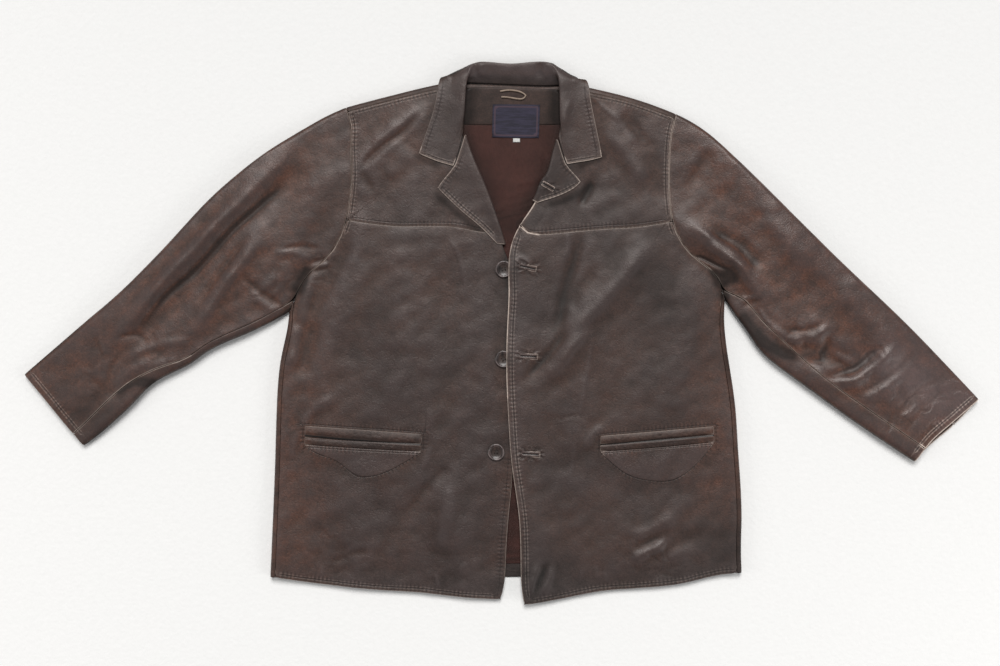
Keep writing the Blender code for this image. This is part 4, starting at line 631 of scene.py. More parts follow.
def border_of(wall, edge_crease):
    """Points along the border of a wall, close enough to measure distances from."""
    points = []
    for edge in wall.edges:
        if edge[edge_crease] > 0:
            start, end = (vert.co for vert in edge.verts)
            count = max(int((end - start).length / BORDER_STEP), 1)
            points += [start.lerp(end, step / count) for step in range(count + 1)]
    tree = KDTree(len(points))
    for index, point in enumerate(points):
        tree.insert(point, index)
    tree.balance()
    return tree


def fine_copy(node, name, levels):
    """A new piece on the node's form: finer, with a soft border, and its distance to the border kept."""
    wall, edge_crease = clean_copy(node)
    border = border_of(wall, edge_crease)
    mesh = bpy.data.meshes.new(name)
    wall.to_mesh(mesh)
    wall.free()
    piece = bpy.data.objects.new(name, mesh)
    bpy.context.scene.collection.objects.link(piece)
    fine = piece.modifiers.new("fine", "SUBSURF")
    fine.levels = fine.render_levels = levels
    shape = bpy.data.meshes.new_from_object(piece.evaluated_get(bpy.context.evaluated_depsgraph_get()))
    piece.modifiers.clear()
    piece.data = shape
    bpy.data.meshes.remove(mesh)
    shape.name = name
    shape.materials.clear()
    shape.shade_smooth()
    keep(shape, "edge", [border.find(vert.co)[2] for vert in shape.vertices])
    return piece


print("edges sharper than", round(math.degrees(SHARP)), "degrees are turned over softly")


# %% [markdown]
# ## Numbers kept on the mesh
#
# A finish can only read what it finds at a point: its place, and numbers stored there under a name. So what
# the leather has been through is worked out here, once for each point, and stored. Painting it by hand in
# Texture Paint would need an unwrapped picture for each piece. The first number is the rise: how far the
# map lifts the point. The lift fades out near the floor.

# %% Points and lifts
FLAT_BELOW = 0.0060
LIFTED_ABOVE = 0.0095
FULL_RISE = 0.0020


def points_of(mesh):
    flat = np.empty(3 * len(mesh.vertices), np.float32)
    mesh.vertices.foreach_get("co", flat)
    return flat.reshape(-1, 3).astype(float)


def move_points(mesh, points):
    mesh.vertices.foreach_set("co", points.astype(np.float32).ravel())
    mesh.update()


def keep(mesh, name, numbers):
    """Stores one number for each point of the mesh, for its finish to read."""
    layer = mesh.attributes.get(name) or mesh.attributes.new(name, "FLOAT", "POINT")
    layer.data.foreach_set("value", np.asarray(numbers, np.float32))


def lift_with_map(piece):
    """Lifts a piece by the map, less and less towards the floor."""
    points = points_of(piece.data)
    heights = lift_at(points[:, :2]) * soft_step(points[:, 2], FLAT_BELOW, LIFTED_ABOVE)
    points[:, 2] += heights
    move_points(piece.data, points)
    keep(piece.data, "rise", np.clip(heights / FULL_RISE, -1.0, 1.0))


print("the map lifts points above", 1000 * LIFTED_ABOVE, "mm in full")


# %% [markdown]
# ## How worn, and how far from a row
#
# Wear is the strongest of the worn lines near a point. The distance to the nearest row of stitches is kept
# with a sign, one for each side, so that it crosses zero exactly on the row even where the mesh is coarse.
# Where two rows come close, the distance is faded out between them, or their puckers would meet in a hard
# line.

# %% Wear and rows
ROWS_APART = 0.005
LEAST_WEAR = 0.12
WEAR_REACH = (0.016, 0.009)  # none at the first distance from a worn line, all of it at the second
FAR_FROM_ROWS = 0.05


def side_of(places, line):
    """Plus one to the left of a line, minus one to the right."""
    middles, runs = (line[:-1] + line[1:]) / 2, np.diff(line, axis=0)
    nearest = np.zeros(len(places), int)
    best = np.full(len(places), 9.0)
    for index, middle in enumerate(middles):
        gap = np.linalg.norm(places - middle, axis=1)
        nearest = np.where(gap < best, index, nearest)
        best = np.minimum(best, gap)
    off, run = places - middles[nearest], runs[nearest]
    return np.where(run[:, 0] * off[:, 1] - run[:, 1] * off[:, 0] >= 0, 1.0, -1.0)


def keep_wear(piece, node):
    """How pale the border has worn, and how far the nearest row of stitches is."""
    places = points_of(piece.data)[:, :2]
    wear = np.full(len(places), LEAST_WEAR)
    for nodes, line, strength in WORN_LINES:
        if node in nodes:
            gap, _ = distance_to(places, line)
            wear = np.maximum(wear, strength * soft_step(gap, *WEAR_REACH))
    row = np.full(len(places), FAR_FROM_ROWS)
    side = np.ones(len(places))
    along, double = np.zeros(len(places)), np.zeros(len(places))
    for name, (nodes, line) in ROWS.items():
        if node in nodes:
            gap, travelled = distance_to(places, line)
            clear = soft_step(np.abs(gap - row), 0.0, ROWS_APART)
            nearer = gap < row
            side = np.where(nearer, side_of(places, line), side)
            row = np.where(nearer, gap, row) + ROWS_APART * (1 - clear) * (np.minimum(gap, row) < ROWS_APART)
            along = np.where(nearer, travelled, along)
            double = np.where(nearer, DOUBLE_LINES.get(name, 0.0), double)
    keep(piece.data, "wear", wear)
    keep(piece.data, "row", row * side)
    keep(piece.data, "along", along)
    keep(piece.data, "double", double)


print("wear lies between", LEAST_WEAR, "and", max(strength for _, _, strength in WORN_LINES))


# %% [markdown]
# ## Slits
#
# A buttonhole puckers the leather round it like rays, and the slit itself is painted black as the shadow
# in it. To draw both, each point keeps its place in the nearest buttonhole: x along the slit and y across
# it, so a turned buttonhole needs no pattern of its own. The same two numbers serve the pocket mouths, where
# the shadow between their two welts is painted black.

# %% Places along and across a slit
OUT_OF_REACH = 0.2
HOLE_REACH = 0.06
ON_LAPEL = ("lapel_right", "buttonhole_lapel")


def keep_holes(piece, node):
    """Place within the nearest buttonhole or pocket mouth: x along its slit and y across it."""
    places = points_of(piece.data)[:, :2]
    inside = np.full((len(places), 2), OUT_OF_REACH)
    best = np.full(len(places), HOLE_REACH)
    for name, (centre, turn) in BUTTONHOLES.items():
        if (name in ON_LAPEL) != (node in ON_LAPEL):
            continue
        off = places - np.array(centre)
        cos, sin = math.cos(math.radians(turn)), math.sin(math.radians(turn))
        slit = np.stack([off[:, 0] * cos + off[:, 1] * sin, off[:, 1] * cos - off[:, 0] * sin], axis=1)
        gap = np.linalg.norm(off, axis=1)
        inside = np.where((gap < best)[:, None], slit, inside)
        best = np.minimum(best, gap)
    for welts, mouth in ((WELTS_LEFT, LEFT_MOUTH), (WELTS_RIGHT, RIGHT_MOUTH)):
        if node in welts:
            gap, _ = distance_to(places, mouth)
            inside = np.stack([np.zeros(len(places)), gap * side_of(places, mouth)], axis=1)
    keep(piece.data, "slit_x", inside[:, 0])
    keep(piece.data, "slit_y", inside[:, 1])


print("slits:", list(BUTTONHOLES), "and two pocket mouths")


# %% [markdown]
# ## Crumpled places, painted shade and paler grey
#
# Some spots are crushed into small folds: the elbows, the cuffs, the corner of the hem. Others are painted
# darker: painted shade at the armpits, round each button, inside the neck, along the sleeve seams, under the
# lapels and on the lining between the fronts, with darker tone in a few places and on whole pieces. The
# collar's stand is painted paler and greyer where its highlights lie, and the right cuff is paler and greyer.
# Each spot is a centre, a reach in metres and a strength. A brush would do the same, but a list can be read.

# %% Crumpled, painted shade and paler grey
CRUMPLED = [
    ((0.435, -0.015), 0.040, 0.55), ((0.555, -0.065), 0.045, 0.75), ((0.630, -0.125), 0.040, 0.90),
    ((-0.600, -0.085), 0.050, 0.70), ((-0.520, -0.035), 0.045, 0.45), ((-0.345, 0.075), 0.040, 0.50),
    ((0.350, 0.085), 0.045, 0.60), ((0.055, -0.375), 0.030, 0.80), ((-0.080, -0.370), 0.045, 0.55),
    ((0.225, -0.325), 0.055, 0.70), ((-0.245, -0.345), 0.045, 0.55), ((0.105, -0.145), 0.030, 0.55),
    ((0.045, 0.185), 0.030, 0.40), ((-0.285, 0.085), 0.030, 0.60), ((0.685, -0.085), 0.030, 0.60),
]
# Painted shade at the armpits, round each button and at the hem between the fronts; darker tone in the other
# spots.
SHADE_AND_TONE_SPOTS = [
    ((-0.304, 0.066), 0.011, 1.0), ((-0.297, 0.078), 0.008, 0.9), ((-0.293, 0.091), 0.007, 0.8),
    ((0.327, 0.073), 0.010, 1.0), ((0.338, 0.086), 0.014, 0.95), ((0.350, 0.078), 0.009, 0.6),
    ((0.334, 0.052), 0.008, 1.0), ((0.318, 0.088), 0.007, 0.8), ((0.004, -0.385), 0.012, 0.5),
    ((-0.615, -0.125), 0.045, 0.35), ((0.340, -0.320), 0.060, 0.35), ((0.050, -0.375), 0.035, 0.25),
    ((-0.295, 0.040), 0.020, 0.35), ((0.340, -0.040), 0.025, 0.30),
    ((0.235, 0.040), 0.065, 0.24), ((0.0026, 0.0927), 0.0150, 0.50), ((0.0021, -0.0420), 0.0150, 0.50),
    ((-0.0089, -0.1815), 0.0150, 0.50),
]
# Painted shade along the sleeve seams, beside the right front edge, under the lapel and collar edges on the
# yokes, and on the lining between the fronts.
SHADE_AND_TONE_LINES = [
    ("sleeve_left_under", ((-0.572, -0.086), (-0.550, -0.076), (-0.524, -0.078)), 0.0070, 1.0),
    ("sleeve_right_under", ((0.362, 0.018), (0.380, -0.004), (0.402, -0.024), (0.432, -0.036)), 0.0090, 1.0),
    ("sleeve_right_upper", ((0.420, -0.042), (0.440, -0.040), (0.462, -0.034)), 0.0060, 0.5),
    ("front_right", ((0.012, 0.120), (0.020, 0.095), (0.020, 0.060)), 0.0040, 0.25),
    ("yoke_right", ((0.075, 0.190), (0.105, 0.200), (0.128, 0.216)), 0.0060, 0.55),
    ("yoke_left", ((-0.100, 0.205), (-0.060, 0.170), (-0.030, 0.146)), 0.0060, 0.55),
    ("yoke_left", ((-0.128, 0.262), (-0.100, 0.248)), 0.0060, 0.45),
    ("yoke_right", ((0.152, 0.262), (0.120, 0.248)), 0.0060, 0.45),
    ("lining_back", ((0.004, -0.240), (0.012, -0.300), (0.014, -0.360)), 0.0250, 0.70),
]
# Painted paler and greyer: a painted highlight on the collar's stand, and a paler, greyer right cuff.
PALER_GREY_LINES = [
    ("collar", ((-0.045, 0.388), (0.012, 0.391), (0.070, 0.386)), 0.0130, 0.62),
    ("sleeve_right_upper", ((0.585, -0.050), (0.640, -0.090), (0.690, -0.115)), 0.0380, 0.62),
]
# Whole pieces painted darker: painted shade on the neck facing, and a mix of painted shade and darker tone on
# the others.
SHADE_AND_TONE_PIECES = {
    "back": 0.30, "back_neck_facing": 0.50, "collar": 0.35, "lapel_left": 0.30, "lapel_right": 0.55,
    "yoke_right": 0.28, "yoke_left": 0.10, "sleeve_left_upper": 0.26, "sleeve_left_under": 0.30,
    "sleeve_right_under": 0.22, "front_right": 0.25, "front_left": 0.14,
    "pocket_left_welt_upper": 0.30, "pocket_right_welt_upper": 0.30,
    "pocket_left_welt_lower": 0.20, "pocket_right_welt_lower": 0.20,
}

LEAST_CRUMPLE = 0.05
LEAST_SHADE_AND_TONE = 0.04
# Painted shade inside the neck, on the neck facing and the lining.
NECK_SHADE = 0.75
NECK_REACH = 0.016


def add_spots(total, places, spots):
    """Adds to a number of each place a soft spot round each centre."""
    for centre, reach, strength in spots:
        total += strength * hump(np.linalg.norm(places - np.array(centre), axis=1), reach)


def keep_places(piece, node):
    """Where the leather is crumpled, where shade and darker tone are painted, and where it is painted paler
    and greyer.
    """
    places = points_of(piece.data)[:, :2]
    crumple = np.full(len(places), LEAST_CRUMPLE)
    dim = np.full(len(places), SHADE_AND_TONE_PIECES.get(node, LEAST_SHADE_AND_TONE))
    faded = np.zeros(len(places))
    for total, spots in ((crumple, CRUMPLED), (dim, SHADE_AND_TONE_SPOTS)):
        add_spots(total, places, spots)
    # Painted shade along both sides of the neck.
    if node in ("back_neck_facing", "lining_back"):
        for line in (NECK_LEFT, NECK_RIGHT):
            gap, _ = distance_to(places, line)
            dim += NECK_SHADE * hump(gap, NECK_REACH)
    for total, lines in ((dim, SHADE_AND_TONE_LINES), (faded, PALER_GREY_LINES)):
        for touched, points, reach, strength in lines:
            if node == touched:
                gap, _ = distance_to(places, smooth_line(points))
                total += strength * hump(gap, reach)
    keep(piece.data, "crumple", np.clip(crumple, 0, 1))
    keep(piece.data, "dim", np.clip(dim, 0, 1))
    keep(piece.data, "faded", faded)


print("crumpled spots:", len(CRUMPLED), " dim spots:", len(SHADE_AND_TONE_SPOTS), " faded lines:", len(PALER_GREY_LINES))


# %% [markdown]
# ## Redder and greyer leather
#
# The sleeves and the shoulders have gone red where light fell on them for years. The hem is grey with dirt,
# and so are the point of the right lapel, the front between the buttons and the left shoulder near the
# neck. Both are soft steps from one part of the coat to another, with a few spots added to the grey.

# %% Red and grey
GREY_SPOTS = [
    ((0.045, 0.185), 0.045, 0.5), ((0.045, -0.36), 0.05, 0.45),
    ((0.02, 0.05), 0.09, 0.3), ((-0.10, 0.32), 0.05, 0.4),
]


def keep_tone(piece):
    """Where the coat has gone redder, and where it is dirty and grey."""
    places = points_of(piece.data)[:, :2]
    x, y = places[:, 0], places[:, 1]
    sleeves, shoulders = soft_step(np.abs(x - 0.01), 0.23, 0.34), soft_step(y, 0.16, 0.30)
    hem, corner = soft_step(y, -0.33, -0.39), soft_step(x, 0.20, 0.34) * soft_step(y, -0.24, -0.34)
    red = 0.85 * sleeves + 0.35 * shoulders
    grey = 0.55 * hem + 0.5 * corner
    add_spots(grey, places, GREY_SPOTS)
    keep(piece.data, "red", np.clip(red, 0, 1))
    keep(piece.data, "grey", np.clip(grey, 0, 1))


print("grey spots:", len(GREY_SPOTS))


# %% [markdown]
# ## Putting finishes together
#
# A finish is a small chain of nodes. This helper adds them one at a time and gives each kind a maker's
# name: clouds for soft patches, cells for grain, a step between two values, a blend of two colours and a
# relief. Wiring them by hand in the editor gives the same result; here it keeps each finish short enough to
# read.

# %% A helper for finishes
class Finish:
    """A material that is put together step by step. Each step returns what the next one reads."""

    def __init__(self, name):
        self.material = bpy.data.materials.new(name)
        self.material.use_nodes = True
        self.tree = self.material.node_tree
        self.shader = self.tree.nodes["Principled BSDF"]
        self.place = self.tree.nodes.new("ShaderNodeTexCoord").outputs["Object"]

    def put(self, socket, value):
        if isinstance(value, bpy.types.NodeSocket):
            self.tree.links.new(value, socket)
        elif isinstance(value, tuple) and socket.type == "RGBA":
            socket.default_value = (*value, 1.0)
        else:
            socket.default_value = value

    def number(self, name):
        kept = self.tree.nodes.new("ShaderNodeAttribute")
        kept.attribute_name = name
        return kept.outputs["Fac"]

    def moved(self, by, amount):
        """The place, pushed about by another pattern."""
        shift = self.tree.nodes.new("ShaderNodeVectorMath")
        shift.operation = "MULTIPLY_ADD"
        self.put(shift.inputs[0], by)
        shift.inputs[1].default_value = (amount,) * 3
        self.put(shift.inputs[2], self.place)
        return shift.outputs[0]

    def stretched(self, turn, scale):
        """The place, turned and drawn out, for creases that run one way."""
        mapping = self.tree.nodes.new("ShaderNodeMapping")
        self.put(mapping.inputs["Vector"], self.place)
        mapping.inputs["Rotation"].default_value = (0.0, 0.0, turn)
        mapping.inputs["Scale"].default_value = scale
        return mapping.outputs["Vector"]

    def clouds(self, size, detail=3.0, rough=0.55, place=None, colour=False):
        noise_node = self.tree.nodes.new("ShaderNodeTexNoise")
        self.put(noise_node.inputs["Vector"], place or self.place)
        noise_node.inputs["Scale"].default_value = 1.0 / size
        noise_node.inputs["Detail"].default_value = detail
        noise_node.inputs["Roughness"].default_value = rough
        return noise_node.outputs["Color" if colour else "Fac"]

    def cells(self, size, feature="F1", place=None):
        cell_node = self.tree.nodes.new("ShaderNodeTexVoronoi")
        cell_node.feature = feature
        self.put(cell_node.inputs["Vector"], place or self.place)
        cell_node.inputs["Scale"].default_value = 1.0 / size
        return cell_node.outputs["Distance"]

    def maths(self, kind, first, second=0.0, third=0.0):
        sum_node = self.tree.nodes.new("ShaderNodeMath")
        sum_node.operation = kind
        for socket, value in zip(sum_node.inputs, (first, second, third)):
            self.put(socket, value)
        return sum_node.outputs[0]

    def times(self, first, second):
        return self.maths("MULTIPLY", first, second)

    def between(self, value, low, high, start=0.0, end=1.0):
        """From start at low to end at high, with soft ends."""
        span = self.tree.nodes.new("ShaderNodeMapRange")
        span.interpolation_type = "SMOOTHSTEP"
        self.put(span.inputs["Value"], value)
        for socket, number in (("From Min", low), ("From Max", high), ("To Min", start), ("To Max", end)):
            span.inputs[socket].default_value = number
        return span.outputs["Result"]

    def blend(self, share, first, second, kind="MIX"):
        mixer = self.tree.nodes.new("ShaderNodeMix")
        mixer.data_type = "RGBA"
        mixer.blend_type = kind
        self.put(mixer.inputs[0], share)
        self.put(mixer.inputs[6], first)
        self.put(mixer.inputs[7], second)
        return mixer.outputs[2]

    def shade(self, colour, value):
        """The colour made darker or lighter by a number round 1."""
        return self.blend(1.0, colour, value, "MULTIPLY")

    def relief(self, height, depth, under=None):
        """Raises and sinks the skin by depth, on top of the relief under it."""
        bump = self.tree.nodes.new("ShaderNodeBump")
        bump.inputs["Distance"].default_value = depth
        self.put(bump.inputs["Height"], height)
        if under is not None:
            self.put(bump.inputs["Normal"], under)
        return bump.outputs["Normal"]

    def finish(self, colour, roughness, normal, **fixed):
        self.put(self.shader.inputs["Base Color"], colour)
        self.put(self.shader.inputs["Roughness"], roughness)
        self.put(self.shader.inputs["Normal"], normal)
        for name, value in fixed.items():
            self.put(self.shader.inputs[name.replace("_", " ")], value)
        return self.material


print("steps a finish is put together from:", [step for step in vars(Finish) if not step.startswith("_")])


# %% [markdown]
# ## Worn leather
#
# The hide was dyed dark brown and has rubbed off unevenly: large clouds of warmer and greyer brown, fine
# mottling, a pebbled grain and a net of tiny creases. Where an edge or a seam stands up, the dye is gone
# and pale tan shows. The finish reads its distance to the border and to the stitches from numbers kept on
# the mesh, so the pale line follows every border closely, which a painted picture would need a lot of
# pixels for.

# %% Colours of the leather
DARK_HIDE = (0.0245, 0.0134, 0.0110)
WARM_HIDE = (0.0415, 0.0205, 0.0150)
RED_HIDE = (0.074, 0.0300, 0.0185)
GREY_HIDE = (0.027, 0.0220, 0.0215)
RUBBED_HIDE = (0.125, 0.080, 0.062)
BARE_HIDE = (0.66, 0.54, 0.47)
# Painted highlight on the polished ridges.
POLISH_AND_HIGHLIGHT_HIDE = (0.076, 0.058, 0.057)
# Paler grey for the painted highlight on the collar's stand and for the right cuff.
PALER_GREY_HIDE = (0.108, 0.082, 0.083)
# Painted shadow in buttonhole slits and pocket mouths.
SLIT_SHADOW = (0.004, 0.003, 0.003)
STITCH_PITCH = 0.0060
print("one stitch every", 1000 * STITCH_PITCH, "mm")


# %% [markdown]
# ## Patterns in the leather
#
# Four patterns serve both the colour and the relief. Crushed folds have sharp troughs and soft ridges.
# Puckers stand round a buttonhole like rays. Along a row the thread pulls up one small pucker for each
# stitch, which is why the finish needs to know how far along the row it is. Last comes a net of tiny
# creases between flat scales. In the colour, the crushed folds, the rays and the puckers are painted light
# and shade.

# %% Patterns in the leather
def folds_of(hide):
    """Small crushed folds that run any way, from minus one to one half."""
    pushed = hide.moved(hide.clouds(0.030, 2.0, 0.5, colour=True), 0.018)
    waves = hide.clouds(0.034, 1.0, 0.35, pushed)
    trough = hide.maths("ABSOLUTE", hide.maths("SUBTRACT", waves, 0.5))
    return hide.between(trough, 0.0, 0.16, -1.0, 0.5)


def round_buttonholes(hide):
    """Short puckers that stand round each buttonhole like rays, and the painted shadow of the slit itself."""
    x, y = hide.number("slit_x"), hide.number("slit_y")
    beyond = hide.maths("MAXIMUM", hide.maths("SUBTRACT", hide.maths("ABSOLUTE", x), 0.010), 0.0)
    away = hide.maths("SQRT", hide.maths("ADD", hide.times(beyond, beyond), hide.times(y, y)))
    angle = hide.maths("ARCTAN2", y, hide.times(x, 0.45))
    rays = hide.maths("MULTIPLY_ADD", hide.clouds(0.008, 1.0), 6.0, hide.times(angle, 7.0))
    ring = hide.times(hide.between(away, 0.0140, 0.0060), hide.between(away, 0.0020, 0.0050))
    slit = hide.times(hide.between(hide.maths("ABSOLUTE", y), 0.0013, 0.0008),
                      hide.between(hide.maths("ABSOLUTE", x), 0.0125, 0.0110))
    return hide.times(hide.maths("SINE", rays), ring), slit


def puckers_of(hide, row):
    """One small pucker for each stitch beside a row, stronger here than there."""
    beat = hide.maths("SINE", hide.times(hide.number("along"), 2 * math.pi / STITCH_PITCH))
    patchy = hide.between(hide.clouds(0.030, 2.0), 0.36, 0.62, 0.25, 1.0)
    return hide.times(hide.times(beat, patchy), hide.between(row, 0.0075, 0.0012))


def net_of(hide):
    """Nothing in the tiny creases between the scales, one on the scales."""
    pushed = hide.moved(hide.clouds(0.015, 2.0, 0.5, colour=True), 0.012)
    return hide.between(hide.cells(0.011, "DISTANCE_TO_EDGE", pushed), 0.0, 0.09)


print("patterns: crushed folds, rays round a buttonhole, puckers along a row, a net of creases")


# %% [markdown]
# ## Dye, polish, painted light and shade, and rubbing
#
# The colour is laid on in the order in which it happened to the coat. The dye comes first, then the years
# of light and dirt. Next come painted shade in the hollows, a painted highlight on the ridges, which were
# also polished, and a few places painted paler and greyer. Last, edges and double rows were rubbed down to
# bare leather, in specks first and then in a ragged line.

# %% Colour of the leather
def dyed(hide, patches, mottle, speck, red_share, grey_share):
    """Dark and warm clouds of dye, redder from light and greyer from dirt."""
    colour = hide.blend(hide.between(patches, 0.38, 0.64), DARK_HIDE, WARM_HIDE)
    redness = hide.times(hide.number("red"), hide.between(mottle, 0.30, 0.75, 0.45, 1.05 * red_share))
    colour = hide.blend(redness, colour, RED_HIDE)
    greyness = hide.times(hide.number("grey"), hide.between(patches, 0.30, 0.62, 0.5, 1.1 * grey_share))
    colour = hide.blend(hide.maths("MINIMUM", greyness, 1.0), colour, GREY_HIDE)
    colour = hide.shade(colour, hide.between(mottle, 0.25, 0.75, 0.76, 1.26))
    return hide.shade(colour, hide.between(speck, 0.25, 0.75, 0.62, 1.42))


def shade_and_highlight_on_folds(hide, colour, rise, mottle):
    """Painted shade in the hollows, a painted highlight on the polished ridges, and places painted paler and
    greyer.
    """
    # Painted shade: hollows and the troughs of crushed folds are darker.
    colour = hide.shade(colour, hide.between(rise, -0.8, 0.1, 0.36, 1.0))
    # Painted highlight: polished ridges are lighter and greyer.
    colour = hide.blend(hide.between(rise, 0.15, 1.0, 0.0, 0.45), colour, POLISH_AND_HIGHLIGHT_HIDE)
    # Paler and greyer: a painted highlight on the collar's stand, and the right cuff.
    faded = hide.times(hide.number("faded"), hide.between(mottle, 0.30, 0.70, 0.65, 1.0))
    return hide.blend(faded, colour, PALER_GREY_HIDE)


def worn_at_edges(hide, colour, row, speck):
    """Rubbed specks near an edge, pale leather beside a double row, and a bare ragged line on the edge."""
    edge, wear = hide.number("edge"), hide.number("wear")
    rubbed = hide.times(hide.between(edge, 0.0070, 0.0008), hide.between(speck, 0.35, 0.65, 0.05, 0.60))
    colour = hide.blend(hide.times(rubbed, wear), colour, RUBBED_HIDE)
    beside_row = hide.times(hide.between(row, 0.0010, 0.0016), hide.between(row, 0.0032, 0.0022))
    beside_row = hide.times(beside_row, hide.number("double"))
    beside_row = hide.times(beside_row, hide.between(speck, 0.35, 0.60, 0.10, 0.45))
    colour = hide.blend(beside_row, colour, BARE_HIDE)
    ragged = hide.maths("MULTIPLY_ADD", speck, 0.0016, hide.maths("MULTIPLY_ADD", wear, -0.0010, edge))
    bare = hide.times(hide.between(ragged, 0.0018, 0.0006), hide.between(wear, 0.12, 1.0, 0.0, 0.88))
    return hide.blend(bare, colour, BARE_HIDE)


print("bare leather:", BARE_HIDE, " dark dye:", DARK_HIDE)


# %% [markdown]
# ## The leather
#
# Now the patterns and colours come together. Each relief is given in metres, as a maker would measure it,
# and lies on the one before it. The colour carries painted light and shade on the puckers and rays, in the
# hollows, slits and stitch lines, and where shade is painted. The leather shines a little more on its
# ridges and less where shade and darker tone are painted. The sleeves are redder and shinier than the body;
# the collar is greyer, with weaker painted light and shade on its puckers.

# %% Leather
def leather(name, red_share=1.0, grey_share=1.0, shine=0.0, pucker_light_and_shade=1.0):
    hide = Finish(name)
    row = hide.maths("ABSOLUTE", hide.number("row"))
    patches = hide.clouds(0.120, 4.0, 0.60)
    mottle = hide.clouds(0.020, 5.0, 0.62)
    speck = hide.clouds(0.0030, 4.0, 0.70)
    crumple = hide.times(hide.number("crumple"), folds_of(hide))
    # Crushed folds add to the rise, and so to the painted shade and highlight.
    rise = hide.maths("MULTIPLY_ADD", crumple, 0.35, hide.number("rise"))
    pucker, net, dim = puckers_of(hide, row), net_of(hide), hide.number("dim")
    star, slit = round_buttonholes(hide)

    colour = dyed(hide, patches, mottle, speck, red_share, grey_share)
    colour = shade_and_highlight_on_folds(hide, colour, rise, mottle)
    colour = worn_at_edges(hide, colour, row, speck)
    # Painted shade in the sunk stitch line.
    colour = hide.shade(colour, hide.between(row, 0.0003, 0.0011, 0.70, 1.0))
    # Painted light and shade on the puckers beside each row.
    colour = hide.shade(colour, hide.between(pucker, -1.0, 1.0, 1 - 0.30 * pucker_light_and_shade, 1 + 0.42 * pucker_light_and_shade))
    # Painted light and shade on the rays round each buttonhole.
    colour = hide.shade(colour, hide.between(star, -1.0, 1.0, 0.80, 1.25))
    # Painted shadow in the slits and pocket mouths.
    colour = hide.blend(slit, colour, SLIT_SHADOW)
    # Painted shade, and darker tone, where the dim number is high.
    colour = hide.shade(colour, hide.between(dim, 0.0, 1.0, 1.0, 0.22))
    colour = hide.shade(colour, hide.between(net, 0.0, 1.0, 0.90, 1.0))

    sunk = hide.maths("SUBTRACT", 1.0, hide.between(row, 0.0013, 0.0004))
    skin = hide.relief(hide.clouds(0.016, 2.0, 0.50), 0.0005)
    for height, depth in ((crumple, 0.0006), (star, 0.0005), (speck, 0.00022), (net, 0.00006),
                          (hide.cells(0.0012), 0.00014), (pucker, 0.00013), (sunk, 0.00022)):
        skin = hide.relief(height, depth, skin)

    gloss = hide.between(mottle, 0.25, 0.75, 0.52 - shine, 0.42 - shine)
    gloss = hide.times(gloss, hide.between(rise, -0.2, 1.0, 1.10, 0.76))
    gloss = hide.maths("ADD", gloss, hide.between(dim, 0.0, 1.0, 0.0, 0.35))
    return hide.finish(colour, gloss, skin, Coat_Weight=0.08, Coat_Roughness=0.32, IOR=1.48,
                       Specular_Tint=(1.0, 0.93, 0.90))


FINISHES = {
    "brown_leather": leather("worn_brown_leather"),
    "sleeve_leather": leather("worn_sleeve_leather", red_share=1.15, grey_share=0.6, shine=0.03),
    "collar_leather": leather("worn_collar_leather", red_share=0.5, grey_share=1.4, pucker_light_and_shade=0.45),
}
print("kinds of leather:", list(FINISHES))


# %% [markdown]
# ## Satin lining, woven label and size tab
#
# The lining is a reddish brown satin with a faint weave and a soft sheen. The label is woven and left bare:
# navy with a plain woven border. The small tab under it is white tape. Their threads are fractions of a
# millimetre, so two crossed waves of relief are enough for them.

# %% Woven finishes
SATIN_DARK, SATIN_LIGHT = (0.032, 0.0105, 0.0085), (0.050, 0.0170, 0.0138)
NAVY_DARK, NAVY_LIGHT = (0.013, 0.011, 0.024), (0.030, 0.025, 0.052)
LABEL_BAND = (0.090, 0.050, 0.065)
TAPE_DARK, TAPE_LIGHT = (0.60, 0.60, 0.58), (0.78, 0.78, 0.76)
CORD_DARK, CORD_LIGHT = (0.16, 0.105, 0.075), (0.42, 0.33, 0.26)


def weave(cloth, thread):
    """Height of crossed threads that are one thread wide."""
    spread = cloth.tree.nodes.new("ShaderNodeSeparateXYZ")
    cloth.put(spread.inputs[0], cloth.place)
    across = cloth.maths("SINE", cloth.times(spread.outputs["X"], math.pi / thread))
    down = cloth.maths("SINE", cloth.times(spread.outputs["Y"], math.pi / thread))
    return cloth.times(across, down)


def satin():
    cloth = Finish("lining_satin")
    patches = cloth.clouds(0.080, 3.0)
    fine = cloth.clouds(0.006, 3.0)
    colour = cloth.blend(cloth.between(patches, 0.35, 0.65), SATIN_DARK, SATIN_LIGHT)
    colour = cloth.shade(colour, cloth.between(fine, 0.3, 0.7, 0.88, 1.12))
    # Painted shade inside the neck and on the lining between the fronts.
    colour = cloth.shade(colour, cloth.between(cloth.number("dim"), 0.0, 1.0, 1.0, 0.30))
    long_waves = cloth.clouds(0.030, 3.0, 0.5, cloth.stretched(0.1, (1.0, 0.25, 1.0)))
    skin = cloth.relief(long_waves, 0.0022)
    skin = cloth.relief(weave(cloth, 0.00035), 0.00006, skin)
    return cloth.finish(colour, 0.55, skin, Sheen_Weight=0.03, Sheen_Roughness=0.4,
                        Sheen_Tint=(0.9, 0.6, 0.5), IOR=1.40, Specular_Tint=(1.0, 0.80, 0.74))


